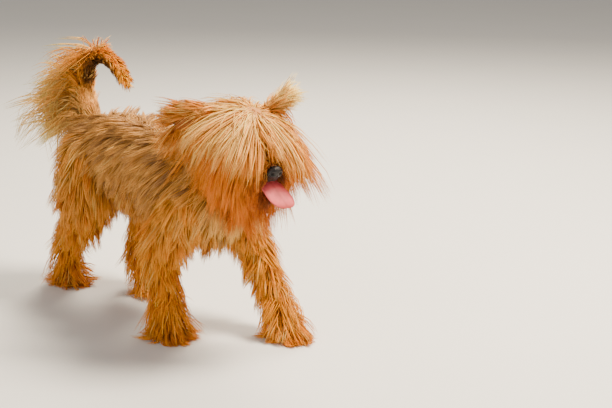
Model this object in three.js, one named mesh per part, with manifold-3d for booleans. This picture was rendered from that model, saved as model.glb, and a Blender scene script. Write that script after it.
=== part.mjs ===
// Yorkshire terrier in a pet trim, walking with its head turned to its right, life size.
// Millimetres, +X towards the nose, +Y to the animal's left, +Z up, the floor at Z = 0.
import * as THREE from "three";
import { mergeVertices } from "three/addons/utils/BufferGeometryUtils.js";
import Module from "manifold-3d";

const wasm = await Module();
wasm.setup();
const { Manifold } = wasm;

// Driving dimensions, in millimetres unless the name says otherwise.
const GAP = 0.35; // between nodes that touch
const WELDS = [0.02, 0.015, 0.01, 0.008, 0.006, 0.004, 0.003]; // grids for a part's points
const NUDGE = 0.02;
const UNDERCOAT = 4; // dense coat over the skin, the core that the locks grow from
const EYE_RADIUS = 6.6;
const LID_THICKNESS = 1.5;
const EAR_THICKNESS = 1.8;
const TOE_RADIUS = 5.2;
const CLAW_LENGTH = 6;
const SOLE = 0; // height of the floor
const LOCK_SIDES = 4;
const LOCK_STEPS = 4;
const LOCK_ROOT_DEPTH = 3.2;

const v = (x, y, z) => new THREE.Vector3(x, y, z);
const UP = v(0, 0, 1);
const DOWN = v(0, 0, -1);
const FORWARD = v(1, 0, 0);
const BACK = v(-1, 0, 0);
const RIGHT = v(0, -1, 0);
const LEFT = v(0, 1, 0);

// The skeleton: each row is the middle of a mass of flesh and its radius over the skin.
const SPINE = [
  [v(-158, 0, 206), 24],
  [v(-134, 0, 197), 39],
  [v(-90, 0, 198), 45],
  [v(-30, 0, 194), 44],
  [v(40, 0, 187), 50],
  [v(84, 0, 182), 43],
  [v(106, 0, 176), 28],
];
const NECK = [
  [v(66, 0, 198), 38],
  [v(98, -2, 224), 34],
  [v(126, -5, 243), 31],
];
const SKULL = [
  [v(126, -6, 250), 28],
  [v(146, -8, 257), 36],
  [v(164, -12, 253), 30],
  [v(175, -15, 246), 20],
];
const MUZZLE = [
  [v(172, -14, 244), 20],
  [v(190, -19, 238), 15.5],
  [v(208, -23.5, 232), 12.5],
  [v(216, -25.5, 229), 10.5],
];
const CHIN = [
  [v(160, -12, 226), 13],
  [v(182, -18, 213), 9.5],
  [v(203, -23, 205), 6.5],
];
const FACE = v(0.9, -0.235, -0.37).normalize(); // the way that the muzzle points
const FACE_SIDE = v(0, 0, 1).cross(FACE).normalize(); // towards the animal's left
const FACE_UP = FACE.clone().cross(FACE_SIDE);
const EYE_LINE = v(160, -10, 256); // midway between the eyes, inside the skull
const EYE_SPACING = 11;
const EYE_DEPTH = 3.6; // from the core's surface to the middle of the eyeball
const NOSE_TIP = v(225.5, -28, 229.5);
const CROWN_PARTING = v(150, -8, 291); // where the hair of the head parts and falls from

const LEGS = {
  foreleg_right: {
    bones: [
      [v(80, -30, 176), 25],
      [v(68, -42, 148), 22],
      [v(46, -48, 114), 15],
      [v(50, -50, 78), 11],
      [v(56, -50, 40), 10],
      [v(58, -50, 13), 11.5],
    ],
    toes: v(66, -51, 6.6),
    heading: v(1, -0.06, 0),
  },
  foreleg_left: {
    bones: [
      [v(80, 30, 176), 25],
      [v(84, 42, 150), 22],
      [v(98, 48, 118), 15],
      [v(122, 50, 80), 11],
      [v(146, 51, 42), 10],
      [v(157, 51, 13), 11.5],
    ],
    toes: v(167, 51, 6.6),
    heading: v(1, 0.02, 0),
  },
  hindleg_right: {
    bones: [
      [v(-124, -26, 188), 37],
      [v(-128, -36, 150), 32],
      [v(-138, -36, 112), 21],
      [v(-180, -31, 74), 12],
      [v(-197, -26, 48), 10],
      [v(-200, -23, 12), 10.5],
    ],
    toes: v(-190, -22, 6.6),
    heading: v(1, -0.05, 0),
  },
  hindleg_left: {
    bones: [
      [v(-118, 26, 188), 37],
      [v(-98, 37, 150), 31],
      [v(-84, 38, 114), 21],
      [v(-112, 34, 72), 12],
      [v(-100, 31, 44), 10],
      [v(-86, 30, 12), 10.5],
    ],
    toes: v(-76, 30, 6.6),
    heading: v(1, 0.05, 0),
  },
};
const TAIL_BASE = [
  [v(-150, 0, 216), 14],
  [v(-166, 0, 232), 12],
  [v(-178, 0, 262), 9.5],
  [v(-172, 0, 292), 8.5],
];
const TAIL_TIP = [
  [v(-172, 0, 292), 8.5],
  [v(-158, 0, 311), 8],
  [v(-134, 0, 318), 7],
  [v(-106, 0, 309), 6],
  [v(-86, 0, 294), 4],
];
const EARS = {
  ear_right: {
    base: v(133, -34, 277),
    bend: v(112, -50, 284),
    tip: v(84, -58, 262),
    across: v(0.55, 0.25, 0.8),
    width: 30,
    cup: 6,
  },
  ear_left: {
    base: v(146, 20, 278),
    bend: v(152, 33, 292),
    tip: v(160, 46, 300),
    across: v(0.75, -0.6, 0.1),
    width: 30,
    cup: 6,
  },
};

// A seeded draw from 0 to 1.
function dice(seed) {
  let state = seed;
  return () => {
    state = (state + 0x6d2b79f5) | 0;
    let t = Math.imul(state ^ (state >>> 15), 1 | state);
    t = (t + Math.imul(t ^ (t >>> 7), 61 | t)) ^ t;
    return ((t ^ (t >>> 14)) >>> 0) / 4294967296;
  };
}

// Catmull-Rom through four numbers.
function spline(a, b, c, d, t) {
  return (
    0.5 *
    (2 * b + (c - a) * t + (2 * a - 5 * b + 4 * c - d) * t * t + (3 * b - a - 3 * c + d) * t * t * t)
  );
}

// The place and radius at s, from 0 to 1 along a chain of masses.
function along(chain, s) {
  const last = chain.length - 1;
  const i = Math.min(Math.floor(s * last), last - 1);
  const t = s * last - i;
  const [a, b, c, d] = [i - 1, i, i + 1, i + 2].map(
    (k) => chain[Math.min(Math.max(k, 0), last)],
  );
  const place = v(
    ...["x", "y", "z"].map((k) => spline(a[0][k], b[0][k], c[0][k], d[0][k], t)),
  );
  return [place, spline(a[1], b[1], c[1], d[1], t)];
}

function tangent(chain, s) {
  const step = 0.02;
  const from = along(chain, Math.max(0, s - step))[0];
  return along(chain, Math.min(1, s + step))[0].sub(from).normalize();
}

// Directions across a chain at s: up as far as the chain allows, and to its side.
function across(chain, s, reference) {
  const t = tangent(chain, s);
  const side = reference.clone().cross(t).normalize();
  return [side, t.clone().cross(side).normalize()];
}

// A closed body from points and faces, turned so that its faces look outwards.
function solid(positions, faces) {
  const volume = faces.reduce(
    (sum, [a, b, c]) => sum + positions[a].dot(positions[b].clone().cross(positions[c])),
    0,
  );
  if (volume < 0) faces.forEach((face) => face.reverse());
  return new Manifold(
    new wasm.Mesh({
      numProp: 3,
      vertProperties: new Float32Array(positions.flatMap((p) => [p.x, p.y, p.z])),
      triVerts: new Uint32Array(faces.flat()),
    }),
  );
}

// Joins rings of equal length into a closed body between two end points.
function skinRings(rings, start, end) {
  const n = rings[0].length;
  const positions = [start, ...rings.flat(), end];
  const faces = [];
  const at = (ring, k) => 1 + ring * n + (k % n);
  for (let k = 0; k < n; k++) faces.push([0, at(0, k + 1), at(0, k)]);
  for (let r = 0; r < rings.length - 1; r++)
    for (let k = 0; k < n; k++) {
      faces.push([at(r, k), at(r, k + 1), at(r + 1, k)]);
      faces.push([at(r, k + 1), at(r + 1, k + 1), at(r + 1, k)]);
    }
  const last = rings.length - 1;
  for (let k = 0; k < n; k++) faces.push([at(last, k), at(last, k + 1), positions.length - 1]);
  return solid(positions, faces);
}

// A round body along a chain, grown by extra, with domed ends.
function body(chain, { extra = 0, sides = 12, steps = 10, reference = UP } = {}) {
  const rings = [];
  const ring = (place, radius, s) => {
    const [side, up] = across(chain, s, reference);
    return Array.from({ length: sides }, (_, k) => {
      const angle = (2 * Math.PI * k) / sides;
      return place
        .clone()
        .addScaledVector(side, radius * Math.cos(angle))
        .addScaledVector(up, radius * Math.sin(angle));
    });
  };
  const dome = [0.9, 0.5];
  const [first, firstRadius] = along(chain, 0);
  const [final, finalRadius] = along(chain, 1);
  const out = tangent(chain, 0).negate();
  const on = tangent(chain, 1);
  for (const a of dome) {
    const r = firstRadius + extra;
    rings.push(ring(first.clone().addScaledVector(out, r * Math.sin(a)), r * Math.cos(a), 0));
  }
  for (let i = 0; i <= steps; i++) {
    const [place, radius] = along(chain, i / steps);
    rings.push(ring(place, radius + extra, i / steps));
  }
  for (const a of [...dome].reverse()) {
    const r = finalRadius + extra;
    rings.push(ring(final.clone().addScaledVector(on, r * Math.sin(a)), r * Math.cos(a), 1));
  }
  return skinRings(
    rings,
    first.clone().addScaledVector(out, firstRadius + extra),
    final.clone().addScaledVector(on, finalRadius + extra),
  );
}

// A solid from a three.js geometry, placed by a matrix.
function fromGeometry(geometry, matrix) {
  const plain = geometry.clone();
  plain.deleteAttribute("normal");
  plain.deleteAttribute("uv");
  const merged = mergeVertices(plain.applyMatrix4(matrix), 1e-4);
  return new Manifold(
    new wasm.Mesh({
      numProp: 3,
      vertProperties: new Float32Array(merged.attributes.position.array),
      triVerts: new Uint32Array(merged.index.array),
    }),
  );
}

// An ellipsoid with its own axes.
function ellipsoid(place, axes, sizes, [around, down] = [12, 8]) {
  const [a, b, c] = axes.map((axis, i) => axis.clone().normalize().multiplyScalar(sizes[i]));
  const matrix = new THREE.Matrix4().makeBasis(a, b, c).setPosition(place);
  return fromGeometry(new THREE.SphereGeometry(1, around, down), matrix);
}

// Every mass of flesh as a run of balls, to keep locks outside the coat's core.
const BALLS = {};
function balls(name, chain, count) {
  BALLS[name] = Array.from({ length: count }, (_, i) => {
    const [place, radius] = along(chain, i / (count - 1));
    return { place, radius: radius + UNDERCOAT };
  });
}
balls("torso", SPINE, 30);
balls("neck", NECK, 8);
balls("head", [...SKULL], 10);
balls("muzzle", MUZZLE, 8);
balls("jaw", CHIN, 8);
balls("tail_base", TAIL_BASE, 10);
balls("tail_tip", TAIL_TIP, 12);
for (const [name, leg] of Object.entries(LEGS)) balls(name, leg.bones, 20);
for (const [name, leaf] of Object.entries(EARS)) {
  const spread = [leaf.base, leaf.bend, leaf.tip].map((place) => [place, 5]);
  balls(name, spread, 6);
}
const ALL_BALLS = Object.values(BALLS).flat();

// The distance from the coat's core, and the way out of it.
function coreAt(p, set = ALL_BALLS) {
  let best = Infinity;
  let nearest = set[0];
  for (const ball of set) {
    const d = p.distanceTo(ball.place) - ball.radius;
    if (d < best) {
      best = d;
      nearest = ball;
    }
  }
  return { distance: best, out: p.clone().sub(nearest.place).normalize() };
}

// The line that a lock follows: out of its root, then along its lie, sinking with its weight.
function lie(root, out, heading, length, row) {
  const { lift = 0.35, droop = 0.25, clear = 2.2, steps = LOCK_STEPS } = row;
  const points = [root.clone().addScaledVector(out, -LOCK_ROOT_DEPTH)];
  const step = length / steps;
  const flat = heading.clone().addScaledVector(out, -heading.dot(out)).normalize();
  const direction = flat.addScaledVector(out, lift).normalize();
  let p = root.clone();
  for (let i = 1; i <= steps; i++) {
    direction.addScaledVector(DOWN, droop).normalize();
    const next = p.clone().addScaledVector(direction, step);
    const { distance, out: away } = coreAt(next);
    const wanted = clear + (1.2 * i) / steps;
    if (distance < wanted) next.addScaledVector(away, wanted - distance);
    next.z = Math.max(next.z, SOLE + 2.5);
    direction.copy(next).sub(p).normalize();
    points.push(next);
    p = next;
  }
  return points;
}

// A flat lock that tapers to its tip, along the points given. Its faces lie with the coat.
function lock(points, width, thickness, grow = 0) {
  const rings = [];
  const last = points.length - 1;
  for (let i = 0; i < last; i++) {
    const s = i / last;
    const direction = points[i + 1].clone().sub(points[Math.max(i - 1, 0)]).normalize();
    const { out } = coreAt(points[i]);
    const side = out.cross(direction).normalize();
    const face = direction.clone().cross(side);
    const half = width * 0.5 * (0.72 + 0.9 * s - 1.45 * s * s) + grow;
    const thick = thickness * 0.5 * (1 - 0.55 * s) + grow;
    rings.push(
      Array.from({ length: LOCK_SIDES }, (_, k) => {
        const angle = (2 * Math.PI * k) / LOCK_SIDES;
        return points[i]
          .clone()
          .addScaledVector(side, half * Math.cos(angle))
          .addScaledVector(face, thick * Math.sin(angle));
      }),
    );
  }
  const end = points[last].clone();
  const way = end.clone().sub(points[last - 1]).normalize();
  const inward = points[0].clone().sub(points[1]).normalize();
  const start = points[0].clone().addScaledVector(inward, 0.4 + 2 * grow);
  return skinRings(rings, start, end.addScaledVector(way, grow));
}

// Rows of roots over a chain. Each row gives s, the angle from above towards the left, and its own sizes.
function rootsOn(chain, reference, extra, rows, draw) {
  const roots = [];
  for (const row of rows) {
    const [from, to] = row.angles;
    for (let k = 0; k < row.count; k++) {
      const wander = row.jitter ?? 0.3;
      const f = row.count === 1 ? 0.5 : (k + (draw() - 0.5) * wander) / (row.count - 1);
      const angle = THREE.MathUtils.degToRad(from + (to - from) * f);
      const s = THREE.MathUtils.clamp(row.s + (draw() - 0.5) * (row.spread ?? 0.03), 0, 1);
      const [place, radius] = along(chain, s);
      const [side, up] = across(chain, s, reference);
      const out = up
        .clone()
        .multiplyScalar(Math.cos(angle))
        .addScaledVector(side, Math.sin(angle))
        .normalize();
      if (row.end) out.addScaledVector(tangent(chain, s), row.end).normalize();
      const root = place.addScaledVector(out, radius + extra);
      roots.push({ root, out, row, s, angle });
    }
  }
  return roots;
}

// The locks of one node: kept as points and sizes, so that they can be built true or grown.
function coat(node, chain, reference, rows, comb, seed, extra = UNDERCOAT) {
  const draw = dice(seed);
  const others = Object.entries(BALLS)
    .filter(([name]) => name !== node)
    .flatMap(([, set]) => set);
  const made = [];
  for (const found of rootsOn(chain, reference, extra, rows, draw)) {
    const { root, out, row } = found;
    if (coreAt(root, others).distance < -2.5) continue;
    const length = row.length * (0.85 + 0.3 * draw());
    const width = row.width * (0.9 + 0.25 * draw());
    const heading = comb(found, draw);
    made.push({
      points: lie(root, out, heading, length, row),
      width,
      thickness: row.thickness ?? 4.4,
    });
  }
  return made;
}

const clumps = (locks, grow = 0) => locks.map((l) => lock(l.points, l.width, l.thickness, grow));
const joined = (pieces) => Manifold.union(pieces);
const less = (whole, cutters) => (cutters.length ? whole.subtract(joined(cutters)) : whole);

// Each coat's lie. Hair of the trunk runs back and down from a parting along the spine.
function trunkLie({ root, out }, draw) {
  const top = Math.max(0, out.z);
  const side = Math.sign(root.y || 1);
  return v(-0.62 - 0.25 * top, side * 0.75 * top, -0.8)
    .add(v(0.12 * (draw() - 0.5), 0, 0))
    .normalize();
}
function hangLie(_, draw) {
  return v(-0.18 + 0.3 * (draw() - 0.5), 0.2 * (draw() - 0.5), -1).normalize();
}
function legLie(heading, back) {
  return ({ out }, draw) =>
    v(0, 0, -1)
      .addScaledVector(heading, -back + 0.2 * (draw() - 0.5))
      .addScaledVector(out, 0.25)
      .normalize();
}
// The head's hair falls away from the parting on the crown.
function crownLie({ root, out }, draw) {
  return root
    .clone()
    .sub(CROWN_PARTING)
    .normalize()
    .add(v(0.15 * (draw() - 0.5), 0.15 * (draw() - 0.5), -0.55))
    .addScaledVector(out, -0.1)
    .normalize();
}
function whiskerLie({ out }, draw) {
  return FACE.clone()
    .multiplyScalar(0.1)
    .addScaledVector(FACE_SIDE, 0.5 * Math.sign(out.dot(FACE_SIDE)))
    .addScaledVector(DOWN, 0.95 + 0.2 * draw())
    .normalize();
}
function plumeLie({ out }, draw) {
  return BACK.clone()
    .addScaledVector(out, 0.5)
    .addScaledVector(LEFT, 0.5 * (draw() - 0.5))
    .normalize();
}

// Where each coat grows, in rows from the rear or the top. Angles are from above, positive to the left.
const ROW = {
  back: (s, count) => ({ s, count, angles: [-150, 150], length: 50, width: 27, lift: 0.22, droop: 0.1 }),
  belly: (s) => ({ s, count: 3, angles: [-212, -148], length: 40, width: 22, lift: 0.5, droop: 0.5, steps: 3 }),
};
const COATS = {
  torso: coat(
    "torso",
    SPINE,
    UP,
    [
      { ...ROW.back(0.96, 6), angles: [-160, 160], length: 42 },
      ROW.back(0.8, 8),
      ROW.back(0.63, 9),
      ROW.back(0.47, 9),
      ROW.back(0.31, 9),
      { ...ROW.back(0.16, 8), angles: [-130, 130] },
      { ...ROW.back(0.03, 5), angles: [-100, 100], end: -0.5, length: 36, steps: 3 },
      ROW.belly(0.88),
      ROW.belly(0.66),
      ROW.belly(0.44),
    ],
    (found, draw) => (found.out.z < -0.8 ? hangLie(found, draw) : trunkLie(found, draw)),
    11,
  ),
  neck: coat(
    "neck",
    NECK,
    UP,
    [
      { s: 0.25, count: 8, angles: [-175, 175], length: 44, width: 26, lift: 0.3, droop: 0.2 },
      { s: 0.7, count: 8, angles: [-180, 180], length: 42, width: 25, lift: 0.3, droop: 0.2 },
    ],
    trunkLie,
    12,
  ),
  head: coat(
    "head",
    SKULL,
    UP,
    [
      { s: 0.02, count: 6, angles: [-150, 150], length: 44, width: 26, lift: 0.3, droop: 0.28 },
      { s: 0.32, count: 7, angles: [-125, 125], length: 58, width: 25, lift: 0.35, droop: 0.3 },
      { s: 0.6, count: 7, angles: [-120, 120], length: 60, width: 23, lift: 0.35, droop: 0.28 },
      { s: 0.85, count: 5, angles: [-115, 115], length: 52, width: 20, lift: 0.35, droop: 0.25 },
    ],
    crownLie,
    13,
  ).concat(
    coat(
      "muzzle",
      MUZZLE,
      UP,
      [
        { s: 0.3, count: 4, angles: [-112, 112], length: 38, width: 16, lift: 0.35, droop: 0.3, steps: 3 },
        { s: 0.66, count: 4, angles: [-112, 112], length: 32, width: 13, lift: 0.35, droop: 0.3, steps: 3 },
      ],
      whiskerLie,
      14,
      1.5,
    ),
  ),
  jaw: coat(
    "jaw",
    CHIN,
    UP,
    [
      { s: 0.4, count: 3, angles: [-230, -130], length: 30, width: 14, lift: 0.5, droop: 0.4, steps: 3 },
      { s: 0.9, count: 3, angles: [-225, -135], length: 26, width: 11, lift: 0.5, droop: 0.4, steps: 3, thickness: 3.4 },
    ],
    hangLie,
    15,
    1.5,
  ),
  tail_base: coat(
    "tail_base",
    TAIL_BASE,
    BACK,
    [
      { s: 0.3, count: 4, angles: [-80, 80], length: 66, width: 14, lift: 0.4, droop: 0.42, thickness: 3.4 },
      { s: 0.52, count: 3, angles: [-60, 60], length: 84, width: 14, lift: 0.5, droop: 0.42, thickness: 3.4 },
      { s: 0.7, count: 4, angles: [-60, 60], length: 92, width: 14, lift: 0.6, droop: 0.36, thickness: 3.4 },
      { s: 0.88, count: 3, angles: [-60, 60], length: 88, width: 13, lift: 0.7, droop: 0.28, thickness: 3.4 },
    ],
    plumeLie,
    16,
    2,
  ),
  tail_tip: coat(
    "tail_tip",
    TAIL_TIP,
    BACK,
    [
      { s: 0.08, count: 3, angles: [-50, 50], length: 80, width: 13, lift: 0.7, droop: 0.2, thickness: 3.4 },
      { s: 0.24, count: 3, angles: [-50, 50], length: 66, width: 12, lift: 0.9, droop: 0.16, thickness: 3.2 },
    ],
    plumeLie,
    17,
    2,
  ),
};
for (const [name, leg] of Object.entries(LEGS)) {
  const fore = name.startsWith("fore");
  const feather = { width: 19, lift: 0.55, droop: 0.4, steps: 3 };
  COATS[name] = coat(
    name,
    leg.bones,
    leg.heading,
    [
      { s: fore ? 0.32 : 0.38, count: 4, angles: [-165, 120], length: 44, ...feather },
      { s: 0.6, count: 5, angles: [-175, 135], length: 42, ...feather },
      { s: 0.88, count: 5, angles: [-160, 140], length: 26, ...feather, width: 18 },
    ],
    legLie(leg.heading, fore ? 0.28 : 0.2),
    20 + Object.keys(LEGS).indexOf(name),
    3,
  );
}

// Each part's flesh, without locks, true or grown.
function legFlesh(name, extra = 0) {
  const { bones, toes, heading } = LEGS[name];
  const pieces = [body(bones, { extra: extra + 3, sides: 9, steps: 7, reference: heading })];
  const side = UP.clone().cross(heading).normalize();
  for (const k of [-1.5, -0.5, 0.5, 1.5]) {
    const middle = Math.abs(k) < 1;
    const place = toes
      .clone()
      .addScaledVector(side, k * TOE_RADIUS * 1.35)
      .addScaledVector(heading, middle ? 3.5 : 0);
    const long = [heading, side, UP];
    pieces.push(
      ellipsoid(place, long, [TOE_RADIUS * 1.7 + extra, TOE_RADIUS + extra, TOE_RADIUS * 1.4 + extra], [6, 4]),
    );
    const claw = new THREE.ConeGeometry(1.5 + extra, CLAW_LENGTH + extra, 4);
    const tip = heading.clone().add(v(0, 0, -0.45)).normalize();
    const turn = new THREE.Quaternion().setFromUnitVectors(v(0, 1, 0), tip);
    const spot = place.clone().addScaledVector(heading, TOE_RADIUS * 1.9).add(v(0, 0, -1.2));
    pieces.push(
      fromGeometry(claw, new THREE.Matrix4().compose(spot, turn, v(1, 1, 1))),
    );
  }
  return joined(pieces);
}

// The eye's place and the axes of its opening, on one side of the head.
function eyeFrame(side) {
  const gaze = FACE.clone().addScaledVector(FACE_SIDE, side * 0.62).addScaledVector(UP, 0.32).normalize();
  const flesh = [...BALLS.head, ...BALLS.muzzle];
  const place = EYE_LINE.clone().addScaledVector(FACE_SIDE, side * EYE_SPACING);
  while (coreAt(place, flesh).distance < -EYE_DEPTH) place.addScaledVector(gaze, 0.5);
  const level = UP.clone().cross(gaze).normalize();
  return { place, gaze, level, rise: gaze.clone().cross(level) };
}

// The lids are a shell round the eyeball with an almond opening.
function lidShell(side) {
  const { place, gaze, level, rise } = eyeFrame(side);
  const r = EYE_RADIUS + LID_THICKNESS;
  return ellipsoid(place, [level, rise, gaze], [r, r, r], [10, 6]);
}
function lidOpening(side) {
  const { place, gaze, level, rise } = eyeFrame(side);
  return ellipsoid(
    place.clone().addScaledVector(gaze, EYE_RADIUS * 1.1),
    [level, rise, gaze],
    [EYE_RADIUS * 0.9, EYE_RADIUS * 0.6, EYE_RADIUS],
    [8, 5],
  );
}
const eyeball = (side, grow = 0) => {
  const { place, gaze, level, rise } = eyeFrame(side);
  const r = EYE_RADIUS + grow;
  return ellipsoid(place, [level, rise, gaze], [r, r, r], [10, 7]);
};

function headFlesh(extra = 0) {
  const pieces = [
    body(SKULL, { extra: extra + UNDERCOAT, sides: 14, steps: 6 }),
    body(MUZZLE, { extra: extra + 1.5, sides: 10, steps: 4 }),
  ];
  for (const side of [-1, 1]) {
    const brow = v(168, -12, 262).addScaledVector(FACE_SIDE, side * 13);
    pieces.push(ellipsoid(brow, [FACE, FACE_SIDE, FACE_UP], [9 + extra, 9 + extra, 5 + extra], [8, 5]));
    // The upper lip hangs a little over the mouth on each side.
    const lip = [
      [v(176, -15, 232).addScaledVector(FACE_SIDE, side * 11), 5],
      [v(196, -20, 226).addScaledVector(FACE_SIDE, side * 9), 4.6],
      [v(212, -24.5, 222).addScaledVector(FACE_SIDE, side * 4.5), 4],
    ];
    pieces.push(body(lip, { extra, sides: 7, steps: 3 }));
    pieces.push(lidShell(side));
  }
  const made = joined(pieces);
  return extra ? made : less(made, [lidOpening(-1), lidOpening(1)]);
}

function jawFlesh(extra = 0) {
  const pieces = [body(CHIN, { extra: extra + 1.5, sides: 8, steps: 4 })];
  for (const side of [-1, 1]) {
    const lip = [
      [v(170, -14, 224).addScaledVector(FACE_SIDE, side * 11), 3.6],
      [v(190, -19, 213).addScaledVector(FACE_SIDE, side * 7.5), 3],
      [v(206, -23, 206).addScaledVector(FACE_SIDE, side * 2.5), 2.6],
    ];
    pieces.push(body(lip, { extra, sides: 7, steps: 3 }));
  }
  return joined(pieces);
}

function nose(extra = 0) {
  const pad = ellipsoid(NOSE_TIP.clone().addScaledVector(FACE, -5), [FACE_SIDE, FACE_UP, FACE], [8.6 + extra, 7 + extra, 6.4 + extra], [14, 9]);
  if (extra) return pad;
  const nostrils = [-1, 1].map((side) => {
    const bottom = NOSE_TIP.clone().addScaledVector(FACE_SIDE, side * 4.2).addScaledVector(FACE_UP, 0.6);
    return joined([
      ellipsoid(bottom, [FACE_SIDE, FACE_UP, FACE], [2.1, 1.7, 4.6], [6, 4]),
      ellipsoid(
        bottom.clone().addScaledVector(FACE_SIDE, side * 3).addScaledVector(FACE_UP, -0.8).addScaledVector(FACE, -1.5),
        [FACE_SIDE, FACE_UP, FACE],
        [2.6, 0.9, 3],
        [6, 4],
      ),
    ]);
  });
  return less(pad, nostrils);
}

// The tongue lies on the jaw, widens and hangs over the lower lip, with a groove along its middle.
function tongue(extra = 0) {
  const line = [
    [v(176, -16, 229), 9.5, 3.2],
    [v(190, -19.5, 225), 10.5, 3],
    [v(204, -23, 219.5), 11.5, 2.8],
    [v(215, -26, 209), 12, 2.5],
    [v(221, -28, 196), 12.5, 2.3],
    [v(225, -29, 186), 9.5, 1.9],
  ];
  const rings = line.map(([place, half, thick], i) => {
    const before = line[Math.max(i - 1, 0)][0];
    const after = line[Math.min(i + 1, line.length - 1)][0];
    const direction = after.clone().sub(before).normalize();
    const face = direction.clone().cross(FACE_SIDE).negate();
    const groove = i === 0 || i === line.length - 1 ? 0 : 1.3;
    const outline = [
      [1, 0, 0],
      [0.72, 0.85, 1],
      [0.3, 1, 1],
      [0, 1 - groove, 1],
      [-0.3, 1, 1],
      [-0.72, 0.85, 1],
      [-1, 0, 0],
      [-0.6, -0.9, -1],
      [0, -1, -1],
      [0.6, -0.9, -1],
    ];
    return outline.map(([a, b, push]) =>
      place
        .clone()
        .addScaledVector(FACE_SIDE, a * half + Math.sign(a) * extra)
        .addScaledVector(face, b * thick + push * extra),
    );
  });
  const start = line[0][0].clone().addScaledVector(FACE, -3 - extra);
  const end = line[line.length - 1][0].clone().add(v(1, -0.3, -5 - extra));
  return skinRings(rings, start, end);
}

// An ear leaf: a cupped sheet that narrows to a rounded tip.
function ear(name, extra = 0) {
  const { base, bend, tip, across: span, width, cup } = EARS[name];
  const curve = new THREE.QuadraticBezierCurve3(base, bend, tip);
  const stations = 6;
  const columns = 4;
  const sides = [1, -1].map((face) =>
    Array.from({ length: stations + 1 }, (_, i) => {
      const root = i === 0;
      const t = Math.max(0, (i - 1) / (stations - 1));
      const direction = curve.getTangent(t);
      const place = curve.getPoint(t).addScaledVector(direction, root ? -6 - extra : 0);
      const side = span.clone().addScaledVector(direction, -span.dot(direction)).normalize();
      const out = direction.clone().cross(side).normalize();
      const taper = Math.sqrt(Math.max(0.02, 1 - (0.62 * t + 0.36 * t * t) ** 2)) * (1 - 0.28 * t);
      const half = root ? 2.4 : width * 0.5 * taper;
      return Array.from({ length: columns + 1 }, (_, k) => {
        const a = (2 * k) / columns - 1;
        const dish = cup * ((2 * half) / width) ** 2 * a * a;
        return place
          .clone()
          .addScaledVector(side, a * (half + extra))
          .addScaledVector(out, dish + face * (EAR_THICKNESS / 2 + extra));
      });
    }),
  );
  const rings = sides[0].map((row, i) => [...row, ...[...sides[1][i]].reverse()]);
  const middle = (ring) => ring.reduce((sum, p) => sum.add(p), v(0, 0, 0)).divideScalar(ring.length);
  const first = middle(rings[0]).addScaledVector(curve.getTangent(0), -0.5 - extra);
  const final = middle(rings[rings.length - 1]).addScaledVector(curve.getTangent(1), 2 + extra);
  return skinRings(rings, first, final);
}

// Hair round the edge of each ear, in the plane of the leaf.
function earFringe(name, grow = 0) {
  const { base, bend, tip, across: span, width } = EARS[name];
  const curve = new THREE.QuadraticBezierCurve3(base, bend, tip);
  const draw = dice(name === "ear_right" ? 31 : 32);
  const made = [];
  for (const s of [0.35, 0.62, 0.88])
    for (const a of [-1, 1]) {
      const direction = curve.getTangent(s);
      const side = span.clone().addScaledVector(direction, -span.dot(direction)).normalize();
      const out = direction.clone().cross(side).normalize();
      const root = curve
        .getPoint(s)
        .addScaledVector(side, a * width * 0.3 * (1 - 0.45 * s))
        .addScaledVector(out, 2);
      const way = direction.clone().addScaledVector(side, a * (0.75 - 0.4 * s)).normalize();
      const points = [root];
      const length = 30 + 8 * draw();
      for (let i = 1; i <= LOCK_STEPS; i++) {
        way.addScaledVector(DOWN, 0.12).normalize();
        points.push(points[i - 1].clone().addScaledVector(way, length / LOCK_STEPS));
      }
      made.push({ points, width: 17, thickness: 3.4 });
    }
  return clumps(made, grow);
}

// Above the floor only, so that the feet stand on flats.
function standing(part) {
  const box = new THREE.BoxGeometry(1200, 600, 800);
  return part.intersect(fromGeometry(box, new THREE.Matrix4().makeTranslation(0, 0, SOLE + 400)));
}

// Snaps a solid's points to a fine grid and drops the slivers that this closes up.
function snapped(part, grid) {
  const { vertProperties, triVerts } = part.getMesh();
  const known = new Map();
  const points = [];
  const index = Array.from({ length: vertProperties.length / 3 }, (_, i) => {
    const cell = [0, 1, 2].map((k) => Math.round(vertProperties[3 * i + k] / grid));
    const key = cell.join();
    if (!known.has(key)) {
      known.set(key, points.length);
      points.push(v(...cell.map((c) => c * grid)));
    }
    return known.get(key);
  });
  const faces = [];
  for (let i = 0; i < triVerts.length; i += 3) {
    const face = [0, 1, 2].map((k) => index[triVerts[i + k]]);
    if (new Set(face).size === 3) faces.push(face);
  }
  return { points, faces };
}

// The faces at each edge.
function edgesOf(faces) {
  const edges = new Map();
  faces.forEach(([a, b, c], i) => {
    for (const [from, to] of [[a, b], [b, c], [c, a]]) {
      const key = from < to ? `${from},${to}` : `${to},${from}`;
      if (edges.has(key)) edges.get(key).push(i);
      else edges.set(key, [i]);
    }
  });
  return edges;
}

// The biggest run of faces that meet two by two at their edges.
function largestRun({ points, faces }) {
  const group = faces.map((_, i) => i);
  const find = (i) => {
    while (group[i] !== i) i = group[i] = group[group[i]];
    return i;
  };
  for (const [first, second, third] of edgesOf(faces).values())
    if (second !== undefined && third === undefined) group[find(first)] = find(second);
  const runs = new Map();
  faces.forEach((face, i) => {
    const key = find(i);
    if (!runs.has(key)) runs.set(key, []);
    runs.get(key).push(face);
  });
  const volume = (run) =>
    run.reduce((sum, [a, b, c]) => sum + points[a].dot(points[b].clone().cross(points[c])), 0);
  return [...runs.values()].sort((a, b) => volume(b) - volume(a))[0];
}

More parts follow.
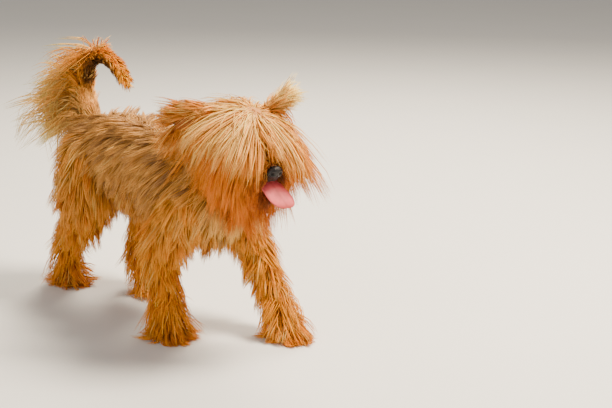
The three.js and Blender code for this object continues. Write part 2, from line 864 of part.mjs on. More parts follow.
// Where a surface touches itself along an edge, each side gets a middle point of its own
// there, drawn a little into its own solid, so that every edge lies between two faces.
function parted({ points, faces }) {
  const made = faces.map((face) => [face]);
  for (const [key, uses] of edgesOf(faces)) {
    if (uses.length !== 4) continue;
    const [from, to] = key.split(",").map(Number);
    const axis = points[to].clone().sub(points[from]).normalize();
    const across = new THREE.Vector3(...(Math.abs(axis.x) < 0.9 ? [1, 0, 0] : [0, 1, 0]));
    const e1 = across.cross(axis).normalize();
    const e2 = axis.clone().cross(e1);
    const sides = uses.map((i) => {
      const face = faces[i];
      const d = points[face.find((k) => k !== from && k !== to)].clone().sub(points[from]);
      const forward = face[(face.indexOf(from) + 1) % 3] === to;
      return { i, forward, angle: Math.atan2(d.dot(e2), d.dot(e1)) };
    });
    const turn = (a, b) => {
      const t = (a.angle - b.angle + 4 * Math.PI) % (2 * Math.PI);
      return t > 2 * Math.PI - 0.01 ? 0 : t;
    };
    const [f1, f2] = sides.filter((side) => side.forward);
    const [b1, b2] = sides.filter((side) => !side.forward);
    const straight = turn(f1, b1) + turn(f2, b2) < turn(f1, b2) + turn(f2, b1);
    for (const [front, back] of straight ? [[f1, b1], [f2, b2]] : [[f1, b2], [f2, b1]]) {
      const middle = front.angle - turn(front, back) / 2;
      const point = points[from]
        .clone()
        .lerp(points[to], 0.5)
        .addScaledVector(e1, NUDGE * Math.cos(middle))
        .addScaledVector(e2, NUDGE * Math.sin(middle));
      points.push(point);
      for (const { i } of [front, back])
        made[i] = made[i].flatMap((face) => {
          const k = face.findIndex((c, j) => {
            const next = face[(j + 1) % 3];
            return (c === from && next === to) || (c === to && next === from);
          });
          if (k < 0) return [face];
          const [p, q, r] = [face[k], face[(k + 1) % 3], face[(k + 2) % 3]];
          const m = points.length - 1;
          return [
            [p, m, r],
            [m, q, r],
          ];
        });
    }
  }
  return { points, faces: made.flat() };
}

// The largest closed surface of a part, on the coarsest grid that keeps it closed.
function whole(part) {
  for (const grid of WELDS) {
    const mesh = snapped(part, grid);
    const run = parted({ points: mesh.points, faces: largestRun(mesh) });
    const closed = ![...edgesOf(run.faces).values()].some((uses) => uses.length !== 2);
    if (closed) return run;
  }
  throw new Error("no grid keeps a part closed");
}

// Assembly. A node earlier in this list keeps its shape, and a later one is cut clear of it.
const torsoCore = (extra) => body(SPINE, { extra: extra + UNDERCOAT, sides: 16, steps: 14 });
const neckCore = (extra) => body(NECK, { extra: extra + UNDERCOAT, sides: 14, steps: 6 });
const tailBaseCore = (extra) => body(TAIL_BASE, { extra: extra + 2, sides: 8, steps: 7, reference: BACK });
const tailTipCore = (extra) => body(TAIL_TIP, { extra: extra + 2, sides: 8, steps: 8, reference: BACK });
const eyes = { eye_right: -1, eye_left: 1 };

const parts = [
  { name: "nose", core: nose, locks: [] },
  ...Object.entries(eyes).map(([name, side]) => ({ name, core: (g) => eyeball(side, g), locks: [] })),
  { name: "tongue", core: (g) => tongue(2 * g), locks: [] },
  { name: "ear_right", core: (g) => ear("ear_right", g), fringe: "ear_right", locks: [] },
  { name: "ear_left", core: (g) => ear("ear_left", g), fringe: "ear_left", locks: [] },
  { name: "head", core: headFlesh, locks: COATS.head },
  { name: "jaw", core: jawFlesh, locks: COATS.jaw },
  { name: "neck", core: neckCore, locks: COATS.neck },
  { name: "torso", core: torsoCore, locks: COATS.torso },
  { name: "tail_base", core: tailBaseCore, locks: COATS.tail_base },
  { name: "tail_tip", core: tailTipCore, locks: COATS.tail_tip },
  ...Object.keys(LEGS).map((name) => ({ name, core: (g) => legFlesh(name, g), locks: COATS[name] })),
];

const COLOURS = {
  nose: [0x17110f, 0.35],
  eye: [0x160d09, 0.1],
  tongue: [0xd8737a, 0.4],
  ear: [0xc77a30, 0.8],
  head: [0xd4893a, 0.8],
  jaw: [0xa85f26, 0.8],
  torso: [0xa87c50, 0.8],
  neck: [0xb98146, 0.8],
  tail: [0xb98146, 0.8],
  foreleg: [0xcb8438, 0.8],
  hindleg: [0xb97a3c, 0.8],
};

const grownCores = Object.fromEntries(parts.map((p) => [p.name, p.core(GAP)]));
const grownLocks = Object.fromEntries(
  parts.map((p) => [p.name, [...clumps(p.locks, GAP), ...(p.fringe ? earFringe(p.fringe, GAP) : [])]]),
);

const model = new THREE.Group();
parts.forEach((part, i) => {
  const before = parts.slice(0, i);
  const made = joined([
    part.core(0),
    ...clumps(part.locks),
    ...(part.fringe ? earFringe(part.fringe) : []),
  ]);
  const cutters = before.map((p) => grownCores[p.name]);
  for (const p of before) cutters.push(...grownLocks[p.name]);
  const { points, faces } = whole(standing(less(made, cutters)));
  const geometry = new THREE.BufferGeometry();
  const flat = points.flatMap((p) => [p.x, p.y, p.z]);
  geometry.setAttribute("position", new THREE.Float32BufferAttribute(flat, 3));
  geometry.setIndex(faces.flat());
  geometry.computeVertexNormals();
  const [color, roughness] = COLOURS[part.name.split("_")[0]];
  const mesh = new THREE.Mesh(geometry, new THREE.MeshStandardMaterial({ color, roughness, metalness: 0 }));
  mesh.name = part.name;
  model.add(mesh);
});

// The origin is on the floor, under the middle of the model's box.
const box = new THREE.Box3().setFromObject(model);
model.position.set(-(box.min.x + box.max.x) / 2, -(box.min.y + box.max.y) / 2, -box.min.z);

export default model;
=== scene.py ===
"""A life-size museum model of a yorkshire terrier in a loose pet trim, in mid-stride."""

import math
from typing import Any, NamedTuple

import bpy
import numpy as np
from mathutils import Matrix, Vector


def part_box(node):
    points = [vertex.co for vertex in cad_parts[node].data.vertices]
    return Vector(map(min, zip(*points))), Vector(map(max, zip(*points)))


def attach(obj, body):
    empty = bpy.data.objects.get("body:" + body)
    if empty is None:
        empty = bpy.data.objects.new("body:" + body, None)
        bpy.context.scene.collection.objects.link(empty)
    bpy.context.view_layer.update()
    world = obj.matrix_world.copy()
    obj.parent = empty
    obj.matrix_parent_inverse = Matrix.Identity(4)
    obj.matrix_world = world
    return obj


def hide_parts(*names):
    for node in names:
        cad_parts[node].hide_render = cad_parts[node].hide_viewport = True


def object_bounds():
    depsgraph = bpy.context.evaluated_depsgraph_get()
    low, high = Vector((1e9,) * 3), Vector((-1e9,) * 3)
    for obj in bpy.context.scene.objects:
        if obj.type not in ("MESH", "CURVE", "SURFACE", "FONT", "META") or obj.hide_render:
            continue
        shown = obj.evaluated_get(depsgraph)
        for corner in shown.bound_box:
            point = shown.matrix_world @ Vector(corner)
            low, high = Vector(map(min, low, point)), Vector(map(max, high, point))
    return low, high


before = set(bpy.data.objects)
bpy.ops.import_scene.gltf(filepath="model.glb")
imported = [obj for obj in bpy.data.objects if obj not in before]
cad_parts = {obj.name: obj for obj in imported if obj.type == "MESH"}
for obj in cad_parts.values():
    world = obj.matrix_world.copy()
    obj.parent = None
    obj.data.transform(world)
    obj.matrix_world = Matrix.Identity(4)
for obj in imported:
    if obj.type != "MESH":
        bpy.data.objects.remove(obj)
solid_low, solid_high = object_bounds()

bl_info = {
    "name": "Yorkshire Terrier Model",
    "version": (1, 0, 0),
    "blender": (4, 2, 0),
    "location": "View3D > Sidebar > Terrier",
    "description": "Builds the skin, coat, eyes, nose, tongue and claws of a small long-haired terrier",
    "category": "Add Mesh",
}

# The animal is set out in millimetres with X ahead, Y to its left and Z up. This moves it so that
# the middle of its box stands on the origin.
CENTRING = np.array([16.93, -5.14, 0.0])
UP = np.array([0.0, 0.0, 1.0])
# The lowest height of the skin over the floor.
SOLE_HEIGHT = 0.3

# Runs of flesh: the middle of each mass and its radius over the skin.
RUNS = {
    "trunk": [
        (-158, 0, 206, 24), (-134, 0, 197, 39), (-90, 0, 198, 45), (-30, 0, 194, 44),
        (40, 0, 187, 50), (84, 0, 182, 43), (106, 0, 176, 28),
    ],
    "neck": [(66, 0, 198, 38), (98, -2, 224, 34), (126, -5, 243, 31)],
    "skull": [(126, -6, 250, 28), (146, -8, 257, 36), (164, -12, 253, 30), (175, -15, 246, 20)],
    "muzzle": [
        (172, -14, 244, 19), (190, -19, 238, 14.5), (208, -23.5, 232, 11.5), (215, -25.5, 229.5, 9.5),
    ],
    "chin": [(160, -12, 226, 13), (182, -18, 213, 9), (203, -23, 205, 6)],
    "tail": [
        (-150, 0, 216, 14), (-166, 0, 232, 12), (-178, 0, 262, 9.5), (-172, 0, 292, 8.5),
        (-158, 0, 311, 8), (-134, 0, 318, 7), (-106, 0, 309, 6), (-86, 0, 294, 4),
    ],
    "fore_right": [
        (80, -30, 176, 25), (68, -42, 148, 22), (46, -48, 114, 15), (50, -50, 78, 11),
        (56, -50, 40, 10), (58, -50, 13, 11.5),
    ],
    "fore_left": [
        (80, 30, 176, 25), (84, 42, 150, 22), (98, 48, 118, 15), (122, 50, 80, 11),
        (146, 51, 42, 10), (157, 51, 13, 11.5),
    ],
    "hind_right": [
        (-124, -26, 188, 37), (-128, -36, 150, 32), (-138, -36, 112, 21), (-180, -31, 74, 12),
        (-197, -26, 48, 10), (-200, -23, 12, 10.5),
    ],
    "hind_left": [
        (-118, 26, 188, 37), (-98, 37, 150, 31), (-84, 38, 114, 21), (-112, 34, 72, 12),
        (-100, 31, 44, 10), (-86, 30, 12, 10.5),
    ],
}
# How many balls make up each run.
BALL_COUNTS = {
    "trunk": 34, "neck": 10, "skull": 12, "muzzle": 12, "chin": 10, "tail": 44,
    "fore_right": 34, "fore_left": 34, "hind_right": 34, "hind_left": 34,
}
# The middle of the tail's curl, and where the trunk's coat is in two pieces.
TAIL_CURL = np.array([-132.0, 0.0, 278.0])
TRUNK_SPLIT = -30

# The head looks ahead, down and to the animal's right.
FACE = np.array([0.9, -0.235, -0.37])
FACE /= np.linalg.norm(FACE)
FACE_SIDE = np.cross(UP, FACE)
FACE_SIDE /= np.linalg.norm(FACE_SIDE)
FACE_UP = np.cross(FACE, FACE_SIDE)
HEAD_MIDDLE = np.array([150, -9, 256])
HEAD_SPLIT = -8
CROWN_PARTING = np.array([163.0, -2.0, 285.0])
NOSE_TIP = np.array([225.5, -28.0, 229.5])
NOSE_MIDDLE = NOSE_TIP - FACE * 5
NOSE_SIZE = (9.2, 7.6, 6.0)
NOSE_CLEARING = 8.4
BROW = np.array([168, -12, 260])
BROW_ASIDE = 13
BROW_SIZE = (9, 9, 5)
EYE_LINE = np.array([160.0, -10.0, 256.0])
EYE_ASIDE = 11
EYE_CLEARING = 7.5

# Each lip's masses as in RUNS, and how far out it lies at its back and at its front.
LIPS = [
    ([(176, -15, 232, 5), (196, -20, 226, 4.6), (212, -24.5, 222, 4)], 11, 4.5),
    ([(170, -14, 224, 3.6), (190, -19, 213, 3), (206, -23, 206, 2.8)], 11, 2.5),
]
LIP_BALLS = 9
LIP_LINE = 222
LIP_BACK = 168
LIP_CLEARING = 5

# The tongue's middle line from the throat to its tip, with half its width and half its thickness.
TONGUE = [
    (176, -16, 229, 9.5, 3.2), (190, -19.5, 225, 10.5, 3.0), (204, -23, 219.5, 12.0, 2.8),
    (216, -24, 211, 13.5, 2.5), (226, -22, 201, 14.5, 2.3), (234, -19.5, 192, 12.0, 1.9),
]
EARS = {
    "ear_right": {"line": [(133, -34, 277), (112, -50, 284), (84, -58, 262)], "across": (0.55, 0.25, 0.8)},
    "ear_left": {"line": [(146, 20, 278), (152, 33, 292), (160, 46, 300)], "across": (0.75, -0.6, 0.1)},
}
EAR_WIDTH = 30
EAR_CUP = 6

# The middle of each paw and the way it points.
PAWS = {
    "fore_right": ((66, -51, 6.6), (1, -0.06, 0)),
    "fore_left": ((167, 51, 6.6), (1, 0.02, 0)),
    "hind_right": ((-190, -22, 6.6), (1, -0.05, 0)),
    "hind_left": ((-76, 30, 6.6), (1, 0.05, 0)),
}
TOE_SPACING = 7.0
MIDDLE_TOE_LEAD = 3.5
TOE_SIZE = (8.6, 5.2, 6.8)
CLAW_ROOT = 6.5
CLAW_DROP = 0.6
CLAW_LENGTH = 7.5

FLESH_NODES = [
    "head", "jaw", "neck", "torso", "tail_base", "tail_tip", "ear_right", "ear_left",
    "foreleg_right", "foreleg_left", "hindleg_right", "hindleg_left",
]

# The camera stands and looks as in the photograph.
CAMERA_PLACE = (1169.55, -895.92, 550.0)
CAMERA_LOOK = (-0.6935, 0.6697, -0.2656)
CAMERA_LENS = 72.0
# How far each lamp is to the right, towards the camera and up, with its size, power and tint.
LAMPS = {
    "key": (1.0, 0.15, 1.5, 0.55, 112.0, (1.0, 0.88, 0.70)),
    "fill": (-1.3, 1.5, 0.9, 1.8, 20.0, (1.0, 0.94, 0.86)),
    "rim": (0.3, -1.3, 1.3, 0.8, 55.0, (1.0, 0.88, 0.70)),
}


def unit(rows):
    """Rows of vectors, each made one long."""
    return rows / np.maximum(np.linalg.norm(rows, axis=-1, keepdims=True), 1e-9)


def placed(points):
    """Millimetres of the animal to metres of the model."""
    return (np.asarray(points, float) + CENTRING) / 1000.0


def of_animal(points):
    """Metres of the model to millimetres of the animal."""
    return np.asarray(points, float) * 1000.0 - CENTRING


def soft(values, start, end):
    """Goes smoothly from 0 for values at the start to 1 for values at the end."""
    t = np.clip((values - start) / (end - start), 0, 1)
    return t * t * (3 - 2 * t)


def hump(values, middle, width):
    """1 for values at the middle, falling to 0 on both sides of it."""
    return np.exp(-(((values - middle) / width) ** 2))


def ripple(points, scale, seed):
    """Smooth seeded variation from -1 to 1 over places in millimetres."""
    draw = np.random.default_rng(seed)
    total = np.zeros(len(points))
    for _ in range(5):
        way = unit(draw.normal(size=3))
        pitch = draw.uniform(0.7, 1.6)
        phase = draw.uniform(0, 6.28)
        total += np.sin(points @ way / scale * pitch * 2 * math.pi + phase)
    return total / 2.4


def mix(base, other, share):
    """Rows of colour, each moved towards another colour by its share."""
    share = np.reshape(np.clip(share, 0, 1), (-1, 1))
    return base * (1 - share) + other * share


def curve(rows, steps):
    """Values on a smooth curve through rows, and their slopes, at steps counted in rows."""
    rows = np.array(rows, float)
    rows = np.vstack([rows[0], rows, rows[-1]])
    i = np.minimum(steps.astype(int), len(rows) - 4)
    t = (steps - i)[:, None]
    a, b, c, d = (rows[i + k] for k in range(4))
    square = 2 * a - 5 * b + 4 * c - d
    cube = 3 * b - a - 3 * c + d
    values = 0.5 * (2 * b + (c - a) * t + square * t**2 + cube * t**3)
    return values, 0.5 * ((c - a) + 2 * square * t + 3 * cube * t**2)


def run_balls(run, count):
    """Places and radii of balls spread along a run."""
    return curve(run, np.linspace(0, len(run) - 1, count))[0]


def ear_point(name, s, a):
    """A place on an ear's leaf, s of the way from root to tip and a across, from -1 to 1."""
    ear = EARS[name]
    p0, p1, p2 = (np.array(p, float) for p in ear["line"])
    place = (1 - s) ** 2 * p0 + 2 * s * (1 - s) * p1 + s**2 * p2
    along = unit(2 * (1 - s) * (p1 - p0) + 2 * s * (p2 - p1))
    side = np.array(ear["across"], float)
    side = unit(side - side.dot(along) * along)
    taper = math.sqrt(max(0.02, 1 - (0.62 * s + 0.36 * s * s) ** 2)) * (1 - 0.28 * s)
    dish = EAR_CUP * taper**2 * a * a
    return place + side * a * EAR_WIDTH * 0.5 * taper + np.cross(along, side) * dish


def toes(paw):
    """The middle of each toe of a paw, with the ways ahead and across."""
    middle, heading = PAWS[paw]
    ahead = unit(np.array(heading, float))
    across = np.cross(UP, ahead)
    for k in (-1.5, -0.5, 0.5, 1.5):
        lead = MIDDLE_TOE_LEAD if abs(k) < 1 else 0
        yield np.array(middle, float) + across * k * TOE_SPACING + ahead * lead, ahead, across


class Body:
    """The flesh as balls, which lays the hair over its surface and names its regions."""

    names = list(RUNS) + list(EARS)

    def __init__(self):
        balls = [run_balls(run, BALL_COUNTS[name]) for name, run in RUNS.items()]
        for name in EARS:
            balls.append(np.array([[*ear_point(name, s, 0.0), 5.0] for s in np.linspace(0.05, 0.9, 8)]))
        self.ahead = np.vstack([unit(np.gradient(rows[:, :3], axis=0)) for rows in balls])
        self.owner = np.repeat(np.arange(len(balls)), [len(rows) for rows in balls])
        balls = np.vstack(balls)
        self.centre, self.radius = balls[:, :3], balls[:, 3]

    def nearest(self, points):
        """Distance to the flesh, the way out of it and the nearest ball of each point."""
        best = np.full(len(points), 1e9)
        ball = np.zeros(len(points), int)
        for k in range(0, len(points), 4000):
            part = points[k : k + 4000]
            gap = np.linalg.norm(part[:, None] - self.centre[None], axis=2) - self.radius
            ball[k : k + 4000] = gap.argmin(1)
            best[k : k + 4000] = gap.min(1)
        return best, unit(points - self.centre[ball]), ball

    def region(self, points):
        """The number of each point's run or ear in names."""
        return self.owner[self.nearest(points)[2]]


def within(region, *names):
    """True where a region is one of those named."""
    return np.isin(region, [Body.names.index(name) for name in names])


def gaze(side):
    """The way that an eye looks, with side -1 for the right one and 1 for the left."""
    return unit(FACE + FACE_SIDE * side * 0.62 + UP * 0.32)


def eye_place(side, body):
    """The middle of an eye's clearing in the coat, moved out until it is near the surface."""
    place = EYE_LINE + FACE_SIDE * side * EYE_ASIDE
    while body.nearest(place[None])[0][0] < -1.2:
        place = place + gaze(side) * 0.5
    return place


def length_setting(label, note, value, **limits):
    return bpy.props.FloatProperty(name=label, description=note, default=value, unit="LENGTH", **limits)


def colour_setting(label, note, value):
    return bpy.props.FloatVectorProperty(
        name=label, description=note, default=value, size=3, min=0, max=1, subtype="COLOR"
    )


class Sizes(bpy.types.PropertyGroup):
    """Sizes that a user would change."""

    skin_detail: length_setting("Skin detail", "Size of the skin's faces", 0.0024, min=0.001, max=0.01)
    head_hair: length_setting("Head hair", "Length of the fall on the head", 0.080)
    body_hair: length_setting("Body hair", "Length of the coat on the trunk", 0.046)
    leg_hair: length_setting("Leg hair", "Length of the feathering", 0.040)
    tail_hair: length_setting("Tail hair", "Length of the tail's plume", 0.092)
    tuft_width: length_setting("Tuft width", "Width of a tuft near its root", 0.0014)
    eye_radius: length_setting("Eye radius", "Radius of an eyeball", 0.0066)
    fullness: bpy.props.FloatProperty(
        name="Fullness", description="Share of the full number of tufts", default=1.0, min=0.05, max=1.2,
        subtype="FACTOR",
    )


class Colours(bpy.types.PropertyGroup):
    """Colours of the coat and of the bare parts."""

    gold: colour_setting("Gold", "Golden orange of the head and legs", (0.94, 0.34, 0.012))
    rust: colour_setting("Rust", "Deep rust of the cheeks and paws", (0.60, 0.13, 0.004))
    # Cream also paints the highlight on the crown and the light on the standing left ear.
    cream: colour_setting("Cream", "Pale hair of the crown, ear tips and chest", (1.0, 0.62, 0.19))
    sand: colour_setting("Sand", "Sandy tan of the trunk", (0.70, 0.33, 0.075))
    steel: colour_setting("Steel", "Grey brown over the back and sides", (0.20, 0.12, 0.07))
    dark: colour_setting("Dark", "Brown black of the tail and round the mouth", (0.04, 0.016, 0.008))
    leather: colour_setting("Leather", "Black of the nose", (0.012, 0.009, 0.009))
    tongue: colour_setting("Tongue", "Pink of the tongue", (0.85, 0.12, 0.14))
    floor: colour_setting("Floor", "Studio floor", (0.72, 0.70, 0.67))


def settings():
    return bpy.context.scene.terrier_sizes, bpy.context.scene.terrier_colours


class Shade:
    """A shader value that can be added, subtracted, multiplied and compared as a number."""

    def __init__(self, material, socket):
        self.material, self.socket = material, socket

    def math(self, operation, *inputs):
        return self.material.node("ShaderNodeMath", {"operation": operation}, dict(enumerate(inputs)))

    def __add__(self, other):
        return self.math("ADD", self, other)

    __radd__ = __add__

    def __sub__(self, other):
        return self.math("SUBTRACT", self, other)

    def __rsub__(self, other):
        return self.math("SUBTRACT", other, self)

    def __mul__(self, other):
        return self.math("MULTIPLY", self, other)

    def __gt__(self, other):
        return self.math("GREATER_THAN", self, other)


class Finish:
    """A node material with one glossy surface shader."""

    def __init__(self, name, **fixed):
        self.data = bpy.data.materials.new(name)
        self.data.use_nodes = True
        self.tree = self.data.node_tree
        self.surface = self.tree.nodes["Principled BSDF"]
        for socket, value in fixed.items():
            self.surface.inputs[socket.replace("_", " ")].default_value = value

    def node(self, kind, settings=None, values=None, output=0):
        """Adds a node, sets its settings first, then links or sets its sockets."""
        made = self.tree.nodes.new(kind)
        for key, value in (settings or {}).items():
            setattr(made, key, value)
        for key, value in (values or {}).items():
            if isinstance(value, Shade):
                self.tree.links.new(value.socket, made.inputs[key])
            else:
                made.inputs[key].default_value = value
        return Shade(self, made.outputs[output])

    def texture(self, kind, **values):
        """A pattern in the piece's own space."""
        values["Vector"] = self.node("ShaderNodeTexCoord", output="Object")
        return self.node(kind, None, values)

    def noise(self, scale, detail=3.0):
        return self.texture("ShaderNodeTexNoise", Scale=scale, Detail=detail)

    def cells(self, scale):
        return self.texture("ShaderNodeTexVoronoi", Scale=scale)

    def attribute(self, name, output):
        return self.node("ShaderNodeAttribute", {"attribute_name": name}, output=output)

    def between(self, factor, low, high, blend="MIX"):
        """A colour from low to high, or low blended with high."""
        kind = {"data_type": "RGBA", "blend_type": blend}
        return self.node("ShaderNodeMix", kind, {0: factor, 6: low, 7: high}, output=2)

    def tinted(self, colour, tint):
        return self.between(1.0, colour, tint + (1.0,), "MULTIPLY")

    def feed(self, socket, value):
        self.tree.links.new(value.socket, self.surface.inputs[socket])

    def relief(self, height, strength, distance):
        values = {"Height": height, "Strength": strength, "Distance": distance}
        self.feed("Normal", self.node("ShaderNodeBump", None, values))


def rgba(colour, light=1.0):
    return tuple(min(1.0, c * light) for c in colour) + (1.0,)


def hair_finish():
    """Hair, coloured tuft by tuft, with a little variation along each."""
    made = Finish("coat hair", Roughness=0.5, Specular_IOR_Level=0.16)
    base = made.attribute("hair_colour", "Color")
    streak = made.noise(620.0, 2.0)
    deep = made.tinted(base, (0.72, 0.70, 0.68))
    made.feed("Base Color", made.between(streak * 1.6 - 0.35, deep, base))
    made.feed("Roughness", 0.42 + made.noise(300.0) * 0.22)
    return made.data


def skin_finish():
    """Dense undercoat in the coat's markings, darker than the hair over it: painted shade under the coat.
    """
    made = Finish("undercoat", Roughness=0.8)
    base = made.attribute("hair_colour", "Color")
    fine = made.noise(900.0, 4.0)
    # Both tints darken the coat's colour as painted shade where the hair covers the skin; fine noise mixes
    # the two.
    deep, shade = (made.tinted(base, tint) for tint in ((0.3, 0.24, 0.2), (0.55, 0.47, 0.4)))
    made.feed("Base Color", made.between(fine, deep, shade))
    made.relief(fine, 0.7, 0.0015)
    return made.data


def nose_finish(colours):
    """Black pebbled leather, drier in places."""
    made = Finish(
        "nose leather", Roughness=0.4, Coat_Weight=0.06, Coat_Roughness=0.3, Specular_IOR_Level=0.35
    )
    pebbles = made.cells(620.0)
    black, worn = (rgba(colours.leather, light) for light in (0.3, 1.0))
    made.feed("Base Color", made.between(pebbles * 1.2, black, worn))
    made.feed("Roughness", 0.34 + made.noise(240.0) * 0.22)
    made.relief(1 - pebbles, 0.55, 0.0006)
    return made.data


def eye_finish():
    """A brown iris round a black pupil, read from the angle off the eye's axis."""
    made = Finish("eye", Roughness=0.06, Coat_Weight=1.0, Coat_Roughness=0.02)
    ring = made.attribute("from_pupil", "Fac")
    fibres = made.noise(1500.0, 4.0)
    iris = made.between(fibres, (0.035, 0.012, 0.004, 1), (0.12, 0.045, 0.012, 1))
    inner = made.between(ring > 0.26, (0.002, 0.002, 0.002, 1), iris)
    made.feed("Base Color", made.between(ring > 0.62, inner, (0.07, 0.045, 0.035, 1)))
    return made.data


def tongue_finish(colours):
    """Moist pink flesh with fine buds, redder at its edge, with painted shade along its groove."""
    made = Finish(
        "tongue", Roughness=0.5, Coat_Weight=0.1, Coat_Roughness=0.3, Subsurface_Weight=0.15,
        Subsurface_Radius=(0.004, 0.0015, 0.001),
    )
    patches = made.noise(160.0)
    body = made.between(patches, rgba(colours.tongue, 0.86), rgba(colours.tongue, 1.18))
    # Dark red towards the edge, and along the groove as painted shade.
    made.feed("Base Color", made.between(made.attribute("red_edge_and_groove_shade", "Fac"), body, (0.50, 0.055, 0.05, 1)))
    made.feed("Roughness", 0.42 + patches * 0.25)
    made.relief(1 - made.cells(1500.0), 0.6, 0.0004)
    return made.data


def grained_finish(name, scale, low, high, strength, distance, **fixed):
    """Skin or horn whose fine grain shows in its colour and its relief."""
    made = Finish(name, **fixed)
    grain = made.noise(scale)
    made.feed("Base Color", made.between(grain, rgba(low), rgba(high)))
    made.relief(grain, strength, distance)
    return made.data


def deselect():
    bpy.ops.object.select_all(action="DESELECT")


def only(obj):
    """Leaves one object selected and active."""
    deselect()
    obj.select_set(True)
    bpy.context.view_layer.objects.active = obj


def in_place():
    """Puts the selected objects' places in their meshes."""
    bpy.ops.object.transform_apply(location=True, rotation=True, scale=True)


def modified(obj, name, kind, **values):
    """Adds a modifier to the active object and applies it."""
    added = obj.modifiers.new(name, kind)
    for key, value in values.items():
        setattr(added, key, value)
    bpy.ops.object.modifier_apply(modifier=added.name)


def edited(operator, **values):
    """Runs a mesh operator on the whole of the active object."""
    bpy.ops.object.mode_set(mode="EDIT")
    bpy.ops.mesh.select_all(action="SELECT")
    operator(**values)
    bpy.ops.object.mode_set(mode="OBJECT")


def read(rows, key, width, kind=float):
    """One property of a mesh's vertices, faces or corners, as an array."""
    values = np.empty(len(rows) * width, kind)
    rows.foreach_get(key, values)
    return values.reshape(-1, width)


def coords(obj):
    return read(obj.data.vertices, "co", 3)


def set_coords(obj, co):
    obj.data.vertices.foreach_set("co", np.ascontiguousarray(co, np.float32).ravel())
    obj.data.update()


def ball(place, radius, segments=20, rings=12):
    """A sphere primitive, given in the animal's millimetres."""
    bpy.ops.mesh.primitive_uv_sphere_add(
        segments=segments, ring_count=rings, radius=radius / 1000.0, location=placed(place)
    )
    return bpy.context.object


def unit_ball(segments, rings):
    """A sphere primitive of radius 1 at the origin, to be shaped."""
    deselect()
    bpy.ops.mesh.primitive_uv_sphere_add(segments=segments, ring_count=rings, radius=1.0)
    return bpy.context.object


def oriented(obj, place, axes, sizes):
    """Stretches a unit primitive along its own axes, in the animal's millimetres."""
    co = coords(obj)
    shaped = sum(np.outer(co[:, i] * sizes[i], unit(np.array(axes[i], float))) for i in range(3))
    set_coords(obj, placed(np.array(place, float) + shaped))
    return obj


def joined(objects):
    deselect()
    for obj in objects:
        obj.select_set(True)
    bpy.context.view_layer.objects.active = objects[0]
    bpy.ops.object.join()
    return bpy.context.object


def finished(obj, name, material):
    """Names a piece, puts its place in its mesh and hangs it on the model."""
    only(obj)
    in_place()
    bpy.ops.object.shade_smooth()
    obj.name = name
    obj.data.name = name
    obj.data.materials.clear()
    obj.data.materials.append(material)
    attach(obj, "root")


def colour_attribute(obj, name, values):
    layer = obj.data.attributes.new(name, "FLOAT_COLOR", "POINT")
    rows = np.ones((len(values), 4), np.float32)
    rows[:, :3] = values
    layer.data.foreach_set("color", rows.ravel())


def number_attribute(obj, name, values):
    layer = obj.data.attributes.new(name, "FLOAT", "POINT")
    layer.data.foreach_set("value", np.asarray(values, np.float32))


def markings(points, region, colours):
    """The coat's colour at each place on the skin."""
    gold, rust, cream, sand, steel, dark = (
        np.array(getattr(colours, name)) for name in ("gold", "rust", "cream", "sand", "steel", "dark")
    )
    x, _, z = points.T
    saddle = soft(z, 175, 230) * soft(x, 95, 40)
    trunk = mix(sand, gold, 0.5 * soft(z, 195, 150) + 0.4 * soft(x, 70, 110))
    trunk = mix(trunk, steel, saddle * (0.2 + 0.25 * ripple(points, 46, 3)))
    trunk = mix(trunk, cream, 0.7 * soft(x, 92, 118) * soft(z, 205, 165))
    trunk = mix(trunk, cream, 0.2 * soft(z, 172, 150) * soft(x, 60, 0))
    neck = mix(sand, steel, 0.3 * soft(z, 205, 240) * soft(x, 130, 80))
    neck = mix(neck, cream, 0.6 * soft(x, 100, 130) * soft(z, 215, 180))
    # Paler towards the top of the head: partly the coat's own lighter fall, partly a painted highlight
    # where light falls on the crown.
    skull = mix(gold, cream, 0.4 * soft(z, 268, 290))
    by_nose = soft(np.linalg.norm(points - NOSE_TIP, axis=1), 24, 13)
    muzzle = mix(mix(gold, rust, soft(z, 246, 228)), dark, 0.8 * soft(z, 228, 219))
    inner = soft(np.linalg.norm(points - TAIL_CURL, axis=1), 45, 37) * soft(z, 236, 262)
    tail = mix(mix(sand, gold, soft(z, 240, 290)), rust, 0.35 * soft(z, 296, 316))
    leg = mix(gold, rust, 0.5 * soft(z, 60, 10))
    thigh = soft(z, 90, 160)
    found = {
        "trunk": trunk,
        "neck": neck,
        "skull": mix(skull, rust, 0.6 * soft(z, 252, 226)),
        "muzzle": mix(muzzle, dark, by_nose * (0.45 + 0.5 * soft(z, 237, 228))),
        "chin": mix(rust, dark, 0.35 + 0.5 * soft(x, 170, 200)),
        "tail": mix(tail, dark, 0.9 * inner),
        "fore_right": mix(leg, sand, 0.45 * thigh),
        "fore_left": mix(leg, sand, 0.45 * thigh),
        "hind_right": mix(leg, sand, 0.7 * thigh),
        "hind_left": mix(leg, sand, 0.7 * thigh),
        "ear_right": mix(gold, rust, 0.6),
        # The standing left ear is painted cream towards its top: painted light where light falls on that
        # ear, over its own gold.
        "ear_left": mix(gold, cream, 0.9 * soft(z, 280, 296)),
    }
    out = np.zeros_like(points)
    for name, colour in found.items():
        out = np.where(within(region, name)[:, None], colour, out)
    return np.clip(out, 0, 1)


